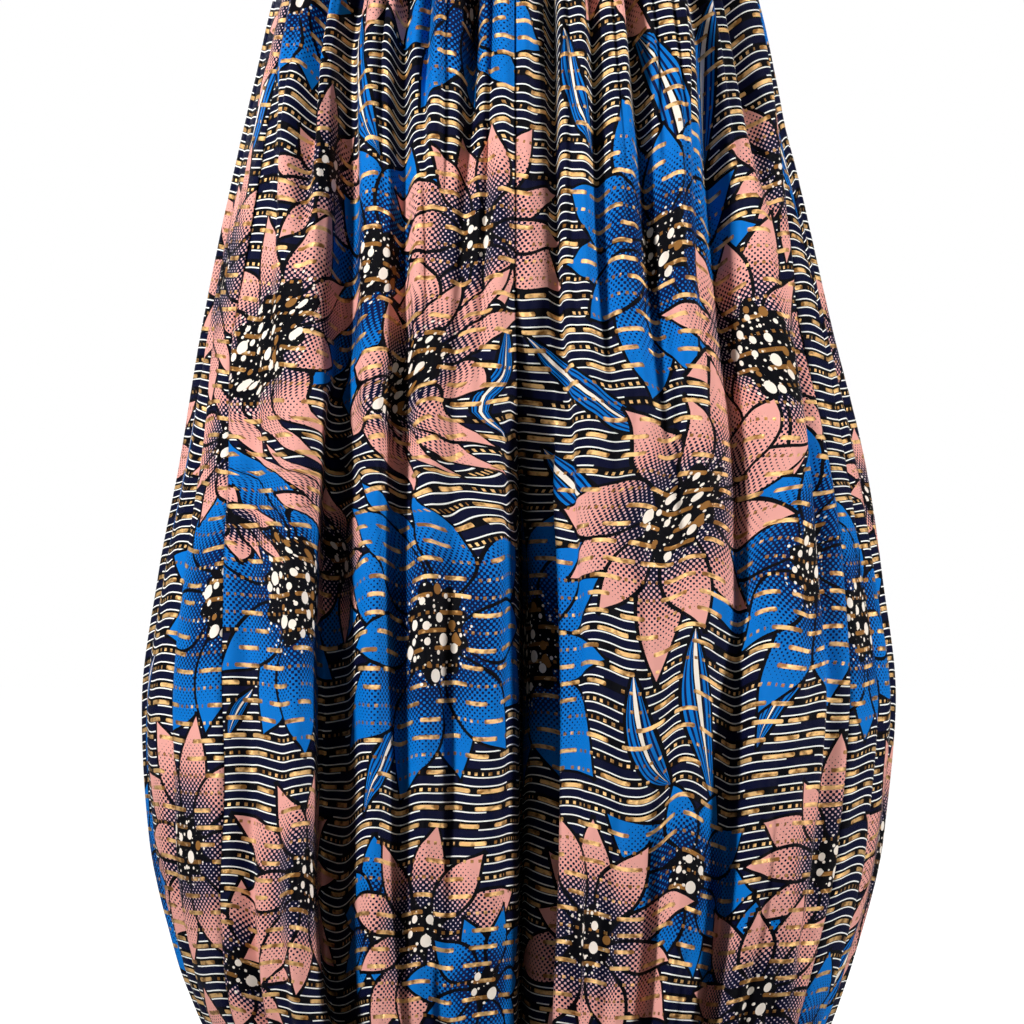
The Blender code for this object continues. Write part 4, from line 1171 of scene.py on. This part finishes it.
# For each fold, its u at many heights, found where the plain section passes the fold's place
def foldTracks(side, face):
    drops = np.linspace(0.0, legs["drop"], legs["trackHeights"])
    across = np.linspace(0.0, 1.0, legs["trackPlaces"])
    x, y = plainPoint(side, face * across[None, :], drops[:, None])
    girth = np.hypot(np.diff(x, axis=1), np.diff(y, axis=1)).sum(axis=1)
    inner = section("inner", drops)
    legWidth = section("halfWidth", drops) + side * section("skew", drops) - inner
    if face == front:
        run = (inner[:, None] - x) / legWidth[:, None]
    else:
        run = np.arctan2(y, x - (inner + legWidth / 2.0)[:, None]) / math.pi
    run = np.maximum.accumulate(run, axis=1)
    spreadShare = legWidth / legs["spreadAt"] / girth
    tracks = []
    for row in folds[(face, side)] + creases[(face, side)]:
        fold = dict(zip(foldColumns, row), main=row in folds[(face, side)])
        place = readCurve(stations, fold["place"], drops) * (-1.0 if face == front else 1.0)
        at = [np.interp(p, r, across) for p, r in zip(place, run)]
        tracks.append({**fold, "at": np.array(at), "spreads": fold["spread"] * spreadShare})
    return {"drops": drops, "folds": tracks}


# Point of the folded cloth: every fold pushes it in along its normal by depth times a bell, and sideways by
# lean times the same. The climb of the print's lines comes with it.
def foldedPanel(side, face, track, across, drop):
    step = legs["step"]
    x, y = plainPoint(side, face * across, drop)
    xOn, yOn = plainPoint(side, face * (across + step), drop)
    xOff, yOff = plainPoint(side, face * (across - step), drop)
    alongX, alongY = xOn - xOff, yOn - yOff
    length = np.hypot(alongX, alongY)
    alongX, alongY = alongX / length, alongY / length
    ends = smoothStep(drop / legs["gatherTop"]) * smoothStep((legs["drop"] - drop) / legs["gatherHem"])
    climb = np.zeros_like(x)
    for fold in track["folds"]:
        at = np.interp(drop, track["drops"], fold["at"])
        spread = np.interp(drop, track["drops"], fold["spreads"])
        valley = ends * bell(across - at, spread)
        depth = readCurve(stations, fold["depth"], drop) * valley
        lean = fold["lean"] * valley
        x = x - lean * alongX - face * depth * alongY
        y = y - lean * alongY + face * depth * alongX
        climb = climb - depth * (1.0 if fold["main"] else legs["creaseClimb"])
    bow = legs["bow"] * fade(drop, legs["legsPart"]) * bell(y, legs["bowDepth"])
    x = x + side * bow * fade(across, legs["bowFrom"])
    upper, lower = legs["stripeRise"]
    climb = climb * (lower + (upper - lower) * (1.0 - fade(drop, legs["riseFade"]))) / legs["riseDepth"]
    climb = climb * smoothStep((1.0 - across) / legs["levelEnd"])
    points = np.stack((section("meeting", drop) + side * x, y, waistHeight - drop), axis=-1)
    return points, climb


# Places of the columns in each row: even along the girth but closer together on the folds
def columnPlaces(track, drops):
    fine = np.linspace(0.0, 1.0, legs["columnChoice"])
    weight = np.full((len(drops), len(fine)), 1.0)
    for fold in track["folds"]:
        at = np.interp(drops, track["drops"], fold["at"])[:, None]
        spread = np.interp(drops, track["drops"], fold["spreads"])[:, None]
        steep = np.abs(readCurve(stations, fold["depth"], drops))[:, None] / legs["columnDepth"]
        near = bell(fine[None, :] - at, legs["columnSpread"] * spread)
        weight += np.clip(steep, *legs["columnLimits"]) * near
    total = np.cumsum(weight, axis=1)
    total = (total - total[:, :1]) / (total[:, -1:] - total[:, :1])
    even = np.linspace(0.0, 1.0, legs["columns"] + 1)
    return np.array([np.interp(even, row, fine) for row in total])


# Shares by which gathers vary, and the paces of that with their number and with the seed
gatherVaries = {"place": (0.28, 2.3, 1.0), "depth": (0.30, 5.1, 2.0), "length": (0.28, 3.7, 3.0)}
gatherSpread = 0.34  # of the distance between two


# Small gathers that an elastic edge draws in, made uneven by sines of unlike pace. How far they push in at a
# place across and away from the edge is a sum of bells.
def gathers(across, away, count, depth, reach, seed):
    push = np.zeros(np.broadcast(across, away).shape)
    for number in range(count):
        waves = {
            name: share * math.sin(pace * number + turn * seed)
            for name, (share, pace, turn) in gatherVaries.items()
        }
        place = (number + 0.5 + waves["place"]) / count
        size = depth * (1.0 - gatherVaries["depth"][0] + waves["depth"])
        length = reach * (1.0 - gatherVaries["length"][0] + waves["length"])
        push += size * bell(across - place, gatherSpread / count) * bell(away, length)
    return push


# Extra slant of the print's lines: a ramp across that a bell curve in both directions ends
slants = {
    (front, left): ((0.006, 0.700, 0.024, 0.120, 0.95), (0.068, 0.650, 0.026, 0.070, -0.35)),
    (front, right): ((-0.060, 0.620, 0.022, 0.060, -0.55), (-0.010, 0.660, 0.020, 0.050, 0.30)),
}


# Flat place of every point. u is the true length along its row from the panel's middle; v is the true length
# down the middle, and the print's lines in it climb on ridges, sag between folds and slant here and there.
def flatPlaces(side, face, across, drops, points, climb):
    middle = legs["middle"][face]
    _, plainY = plainPoint(side, face * np.full(len(drops), middle), drops)
    lengthDown = lengthTo(np.stack((drops, plainY), axis=-1))
    lengthAcross = lengthTo(points, axis=1)
    zero = np.array([np.interp(middle, a, l) for a, l in zip(across, lengthAcross)])
    u = side * face * (lengthAcross - zero[:, None])
    down = drops[:, None]
    sag, wave, drift, swell = legs["sag"]
    varies = legs["sagVaries"]
    sag = sag * (1.0 - varies + varies * np.sin(down * swell + legs["sagSlant"] * u))
    sag = sag * smoothStep((1.0 - across) / legs["levelEnd"]) * smoothStep(down / legs["levelTop"])
    wander = legs["sagWander"] * np.sin(drift * down + side)
    v = lengthDown[:, None] + climb + sag * np.sin(math.tau * u / wave + wander)
    for place, height, reach, length, slope in slants.get((face, side), ()):
        v = v + slope * (u - place) * bell(u - place, reach) * bell(down - height, length)
    return u, v, lengthAcross, lengthDown


# How far the gathers at both ends and the seams at both sides draw the cloth in
def drawnIn(side, face, across, drops, lengthAcross):
    down = drops[:, None]
    topSeed, hemSeed = legs["gatherSeeds"]
    push = gathers(across, down, *legs["topGathers"][face], topSeed * side + face)
    push += gathers(across, legs["drop"] - down, *legs["hemGathers"][face], hemSeed * side - face)
    push *= offSeams(across)
    depth, spread = legs["seamPinch"]
    toEdge = np.minimum(lengthAcross, lengthAcross[:, -1:] - lengthAcross)
    return push + depth * bell(toEdge, spread) * np.where(across < 0.5, 1.0, legs["centrePinch"])


# One leg panel: folded, then moved along its normals by what draws it in, with its seam edges crossed and
# its upper and lower row in the tunnels
def legPanel(side, face):
    name = f"leg_{faceNames[face]}_{sideNames[side]}"
    track = foldTracks(side, face)
    drops = legs["drop"] * np.linspace(0.0, 1.0, legs["rows"] + 1)
    across = columnPlaces(track, drops)
    points, climb = foldedPanel(side, face, track, across, np.broadcast_to(drops[:, None], across.shape))
    u, v, lengthAcross, lengthDown = flatPlaces(side, face, across, drops, points, climb)
    motifs = panelMotifs((face, side), points, u, v)
    push = drawnIn(side, face, across, drops, lengthAcross)
    along = np.gradient(points, axis=1)
    along /= np.linalg.norm(along, axis=-1, keepdims=True)
    outward = side * face * np.stack((-along[..., 1], along[..., 0], np.zeros_like(push)), axis=-1)
    points = points + outward * push[..., None]
    halfGap = legs["seamGap"] / 2.0
    step = points[:, 1] - points[:, 0]
    step[:, 2] = 0.0
    points[:, 0] += halfGap * step / np.linalg.norm(step, axis=-1, keepdims=True)
    points[:, -1] += np.array((side * halfGap, face * halfGap, 0.0))
    points[0, :, 2] += legs["tuck"]
    points[-1, :, 2] -= legs["tuck"]
    panel = clothPiece(name, points, (u, v), legs["wall"], flip=side * face < 0, motifs=motifs)
    area = 0.5 * (lengthAcross[1:, -1] + lengthAcross[:-1, -1]) @ np.diff(lengthDown)
    return panel, (float(lengthAcross[:, -1].max()), float(lengthDown[-1])), float(area)


# Bodice, tunnels and straps

bodice = {
    "top": 0.245,  # above the waist seam
    "bottom": 0.0292,
    "roundness": 2.25,
    "wall": 0.0007,
    "columns": 130,
    "rows": 80,
    "gathers": (20, 0.0016, 0.045),  # count, depth and reach up
    "seed": 1.7,
    "hem": 0.016,
    "hemGroove": (0.0005, 0.0016),  # depth and spread
}

bodiceSections = {
    "columns": ("rise", "halfWidth", "front", "back"),
    "rows": (
        (0.030, 0.1505, 0.105, 0.105),
        (0.050, 0.1590, 0.114, 0.110),
        (0.085, 0.1600, 0.116, 0.110),
        (0.125, 0.1600, 0.121, 0.107),
        (0.165, 0.1630, 0.128, 0.104),
        (0.195, 0.1640, 0.129, 0.101),
        (0.220, 0.1620, 0.125, 0.098),
        (0.245, 0.1590, 0.119, 0.096),
    ),
}

# Soft folds of the bodice: place from one side seam to the other, how far it leans towards that place for
# each metre up, depth, spread, height of its middle and reach up and down
bodiceFolds = {
    front: (
        (0.110, 0.30, 0.0036, 0.020, 0.060, 0.050),
        (0.205, 0.22, 0.0024, 0.014, 0.050, 0.034),
        (0.300, -0.10, 0.0044, 0.019, 0.060, 0.075),
        (0.385, 0.12, 0.0022, 0.013, 0.045, 0.030),
        (0.470, 0.02, 0.0030, 0.018, 0.055, 0.046),
        (0.565, 0.10, 0.0042, 0.021, 0.060, 0.082),
        (0.655, -0.14, 0.0024, 0.014, 0.046, 0.032),
        (0.745, -0.20, 0.0034, 0.017, 0.055, 0.052),
        (0.865, -0.35, 0.0042, 0.021, 0.070, 0.060),
        (0.075, 0.65, 0.0026, 0.018, 0.180, 0.036),
        (0.925, -0.60, 0.0030, 0.018, 0.172, 0.040),
        (0.325, 0.30, 0.0022, 0.020, 0.215, 0.030),
        (0.690, -0.28, 0.0024, 0.022, 0.210, 0.034),
    ),
    back: (
        (0.100, 0.25, 0.0032, 0.016, 0.060, 0.044),
        (0.190, 0.14, 0.0022, 0.014, 0.048, 0.030),
        (0.270, 0.10, 0.0042, 0.020, 0.062, 0.074),
        (0.390, -0.05, 0.0024, 0.014, 0.050, 0.034),
        (0.505, 0.04, 0.0038, 0.021, 0.060, 0.062),
        (0.600, -0.06, 0.0020, 0.013, 0.045, 0.028),
        (0.680, 0.08, 0.0028, 0.016, 0.054, 0.038),
        (0.780, -0.20, 0.0040, 0.019, 0.064, 0.068),
        (0.900, -0.30, 0.0030, 0.017, 0.058, 0.040),
        (0.345, 0.25, 0.0020, 0.020, 0.212, 0.030),
        (0.660, -0.25, 0.0024, 0.022, 0.208, 0.032),
    ),
}


# Point of the bodice at an angle and a rise above the waist seam: on an oval, drawn in by the inset
def bodicePoint(angle, rise, inset):
    parts = (readTable(bodiceSections, name, rise) - inset for name in ("halfWidth", "front", "back"))
    x, y = oval(angle, *parts, bodice["roundness"])
    return np.stack((x, y, waistHeight + rise + 0.0 * x), axis=-1)


# Half of the bodice, from the left side seam to the right one
def bodicePanel(face):
    name = f"bodice_{faceNames[face]}"
    halfGap = legs["seamGap"] / 2.0
    share = np.linspace(0.0, 1.0, bodice["columns"] + 1)[None, :]
    rise = np.linspace(bodice["top"], bodice["bottom"], bodice["rows"] + 1)[:, None]
    inset = gathers(share, rise - bodice["bottom"], *bodice["gathers"], bodice["seed"] * face)
    for place, lean, depth, spread, height, reach in bodiceFolds[face]:
        at = place + lean * (rise - height)
        inset = inset + depth * bell(share - at, spread) * bell(rise - height, reach)
    depth, spread = bodice["hemGroove"]
    inset = inset * offSeams(share) + depth * bell(bodice["top"] - rise - bodice["hem"], spread)
    share, rise = np.broadcast_arrays(share, rise)
    points = bodicePoint(-face * math.pi * share, rise, inset)
    points[:, (0, -1), 1] = face * halfGap
    across = lengthTo(points, axis=1)
    flatPlace = (face * (across - across[:, -1:] / 2.0), bodice["top"] - rise)
    panel = clothPiece(name, points, flatPlace, bodice["wall"], flip=face > 0, motifs=panelMotifs(face))
    return panel, (float(across[:, -1].max()), bodice["top"] - bodice["bottom"])


# kinds with their rows of stitches as shares of the height
tunnels = {
    "waist": {"height": 0.030, "gathers": 34, "relief": 0.0027, "rows": (0.16, 0.50, 0.84), "columns": 480},
    "ankle": {"height": 0.040, "gathers": 19, "relief": 0.0025, "rows": (0.14, 0.86), "columns": 280},
    "levels": 20,
    "wall": 0.0026,
    "groove": (0.0009, 0.05),  # depth and spread of the draw at a row of stitches
    "sink": 0.4,  # share of the gathers' depth by which the ridges stand out
    "seed": 40.0,
}


# A gathered elastic tunnel: a ring that bulges between its rows of stitches, which pull it in
def tunnelPoint(kind, turn, level, middle, half, frontDepth, backDepth, top, roundness):
    facts = tunnels[kind]
    angle = turn * math.tau
    away = np.zeros_like(level)
    inset = gathers(turn, away, facts["gathers"], facts["relief"], 1.0, half * tunnels["seed"])
    inset = (inset - tunnels["sink"] * facts["relief"]) * np.sin(math.pi * level)
    depth, spread = tunnels["groove"]
    for row in facts["rows"]:
        inset = inset + depth * bell(level - row, spread)
    x, y = oval(angle, half - inset, frontDepth - inset, backDepth - inset, roundness)
    return np.stack((middle + x, y, top - facts["height"] * level + 0.0 * x), axis=-1)


# The ring and its rows of stitches; place is all that tunnelPoint needs after the level
def tunnelPiece(name, kind, *place):
    facts = tunnels[kind]
    turn = (np.arange(facts["columns"] + 1) / facts["columns"])[None, :]
    level = np.linspace(0.0, 1.0, tunnels["levels"] + 1)[:, None]
    turn, level = np.broadcast_arrays(turn, level)
    points = tunnelPoint(kind, turn, level, *place)
    across = lengthTo(points, axis=1)
    flatPlace = (across, facts["height"] * level)
    ring = clothPiece(name, points[:, :-1], flatPlace, tunnels["wall"], closed=True, flip=True)
    rows = [tunnelPoint(kind, turn[0], np.full_like(turn[0], row), *place) for row in facts["rows"]]
    sewing = stitches(name + "_stitches", rows, (place[0], 0.0, 0.0), level=True)
    return ring, sewing, (float(across[:, -1].max()), facts["height"])


thread = {
    "pitch": 0.0036,
    "length": 0.0026,
    "radius": 0.00022,
    "profile": ((-0.5, 0.3), (-0.32, 1.0), (0.32, 1.0), (0.5, 0.3)),  # places in lengths and widths in radii
    "proud": 0.00012,
    "look": 0.001,  # how far before and after its middle a stitch looks for its direction
    "finish": {"Base Color": (0.006, 0.008, 0.030, 1.0), "Roughness": 0.5},
}


# Stitches along paths on the cloth: short four-sided rods with drawn-in ends, just proud of it on the side
# away from the axis point, which level puts at their own height
def stitches(name, paths, axis, level=False):
    spots = []
    for path in paths:
        length = lengthTo(path)
        count = int(length[-1] / thread["pitch"])
        at = (np.arange(count) + 0.5) * length[-1] / count
        ends = (at - thread["look"], at + thread["look"])
        spots.append(np.stack([[np.interp(end, length, line) for line in path.T] for end in ends]))
    before, after = np.concatenate(spots, axis=2).transpose(0, 2, 1)
    centre = (before + after) / 2.0
    along = after - before
    along /= np.linalg.norm(along, axis=-1, keepdims=True)
    out = centre - np.array(axis)
    out -= along * (out * along).sum(axis=-1, keepdims=True)
    if level:
        out[:, 2] = 0.0
    out /= np.linalg.norm(out, axis=-1, keepdims=True)
    turn = np.arange(4)[:, None, None] * math.tau / 4.0
    ring = thread["radius"] * (np.cos(turn) * np.cross(along, out) + np.sin(turn) * out)
    places, radii = np.array(thread["profile"]).T[:, :, None, None, None]
    points = centre + out * thread["proud"] + places * thread["length"] * along + radii * ring
    levels = len(thread["profile"])
    row, column = np.divmod(np.arange(4 * (levels - 1)), 4)
    low, onward = 4 * row, (column + 1) % 4
    faces = np.stack((low + column, low + onward, low + 4 + onward, low + 4 + column), axis=-1)
    faces = np.concatenate((faces, ((3, 2, 1, 0), 4 * levels - 4 + np.arange(4))))
    faces = faces[None] + 4 * levels * np.arange(len(centre))[:, None, None]
    mesh = bpy.data.meshes.new(name)
    mesh.from_pydata(points.transpose(2, 0, 1, 3).reshape(-1, 3), [], faces.reshape(-1, 4))
    mesh.update()
    mesh.shade_smooth()
    return addObject(name, mesh)


straps = {
    "width": 0.030,
    "place": 0.085,
    "spread": 0.012,  # how much further out the top is
    "tuck": 0.020,  # length inside the bodice
    "seat": 0.0028,  # how far inside its outer face
    "wall": 0.0022,
    "above": 0.0002,  # gap to the shoulders, at z = 0
    "lift": 0.0010,
    "endRows": 12,
    "steps": 96,
    "columns": 10,
    "edgeStitch": 0.0115,  # from the middle of the strap
    "plainRows": 10,  # without stitches at both ends
    "axisX": 0.095,  # of the arch
    "edgeInset": 0.002,
    "angles": 400,
}


# Angle at which the bodice's top edge, seen from the front, lies x from the centre line
def angleAt(x, face):
    angles = np.linspace(0.0, math.pi / 2.0, straps["angles"])
    points = bodicePoint(-face * angles, np.full(straps["angles"], bodice["top"]), straps["edgeInset"])
    return -face * np.interp(x, points[::-1, 0], angles[::-1])


# Surface of a strap at places across it: both ends follow the bodice inside its top edge, and between them
# the strap is an arch, half a turn of a sine high and half a turn of a cosine long
def strapPoints(side, across):
    ends = {}
    for face in (front, back):
        angles = angleAt(straps["place"] + across, face)
        rises = bodice["top"] + np.linspace(-straps["tuck"], straps["lift"], straps["endRows"])
        grid = np.broadcast_arrays(angles[None, :], rises[:, None])
        ends[face] = bodicePoint(*grid, straps["seat"])
    turn = (math.pi * np.arange(1, straps["steps"]) / straps["steps"])[:, None, None]
    share, rise = (1.0 - np.cos(turn)) / 2.0, np.sin(turn)
    level = smoothStep(rise)
    start, finish = ends[front][-1][None], ends[back][-1][None]
    arch = start + (finish - start) * share
    arch[..., 2:] = start[..., 2:] + (straps["wall"] + straps["above"] - start[..., 2:]) * rise
    arch[..., 0:1] += straps["spread"] * level
    arch[..., 1:2] += level * (arch[..., 1:2].mean(axis=1, keepdims=True) - arch[..., 1:2])
    points = np.concatenate((ends[front], arch, ends[back][::-1]))
    points[..., 0] *= side
    return points


# A strap with a row of stitches along each edge
def strapPiece(side):
    name = f"strap_{sideNames[side]}"
    across = np.linspace(-0.5, 0.5, straps["columns"] + 1) * straps["width"]
    points = strapPoints(side, across)
    length = lengthTo(points[:, straps["columns"] // 2])
    strap = clothPiece(name, points, (length[:, None], across[None, :]), straps["wall"], flip=side < 0)
    edges = strapPoints(side, np.array((-straps["edgeStitch"], straps["edgeStitch"])))
    edges = edges[straps["plainRows"] : -straps["plainRows"]]
    axis = (side * straps["axisX"], 0.0, waistHeight + bodice["top"])
    sewing = stitches(name + "_stitches", (edges[:, 0], edges[:, 1]), axis)
    return strap, sewing, (float(length[-1]), straps["width"])


middle = addCamera()
addStudio(middle)
print("camera and studio")
cloth = printedCotton()
print("print")

threadMaterial = newMaterial("sewingThread", thread["finish"])


# Gives a piece its cloth, its body and its declared cut
def finishPiece(panel, flat, sewing=()):
    panel.data.materials.append(cloth)
    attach(panel, "root")
    for row in sewing:
        row.data.materials.append(threadMaterial)
        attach(row, "root")
    print(f"{panel.name}: cut {flat[0]:.3f} by {flat[1]:.3f} m")


for side in (left, right):
    strap, sewing, flat = strapPiece(side)
    finishPiece(strap, flat, sewing=[sewing])

for face in (front, back):
    panel, flat = bodicePanel(face)
    finishPiece(panel, flat)

width, *depths = (float(section(name, np.array(0.0))) for name in ("halfWidth", "front", "back"))
place = (0.0, width, *depths, waistHeight + tunnels["waist"]["height"], bodice["roundness"])
ring, sewing, flat = tunnelPiece("waist_casing", "waist", *place)
finishPiece(ring, flat, sewing=[sewing])

for side in (left, right):
    hem = np.array(legs["drop"])
    width, inner, *depths = (float(section(name, hem)) for name in ("halfWidth", "inner", "front", "back"))
    top = waistHeight - legs["drop"] - legs["seamGap"]
    place = (side * (width + inner) / 2.0, (width - inner) / 2.0, *depths, top, legs["roundness"])
    ring, sewing, flat = tunnelPiece(f"cuff_{sideNames[side]}", "ankle", *place)
    finishPiece(ring, flat, sewing=[sewing])

for side in (left, right):
    for face in (front, back):
        panel, flat, area = legPanel(side, face)
        finishPiece(panel, flat)
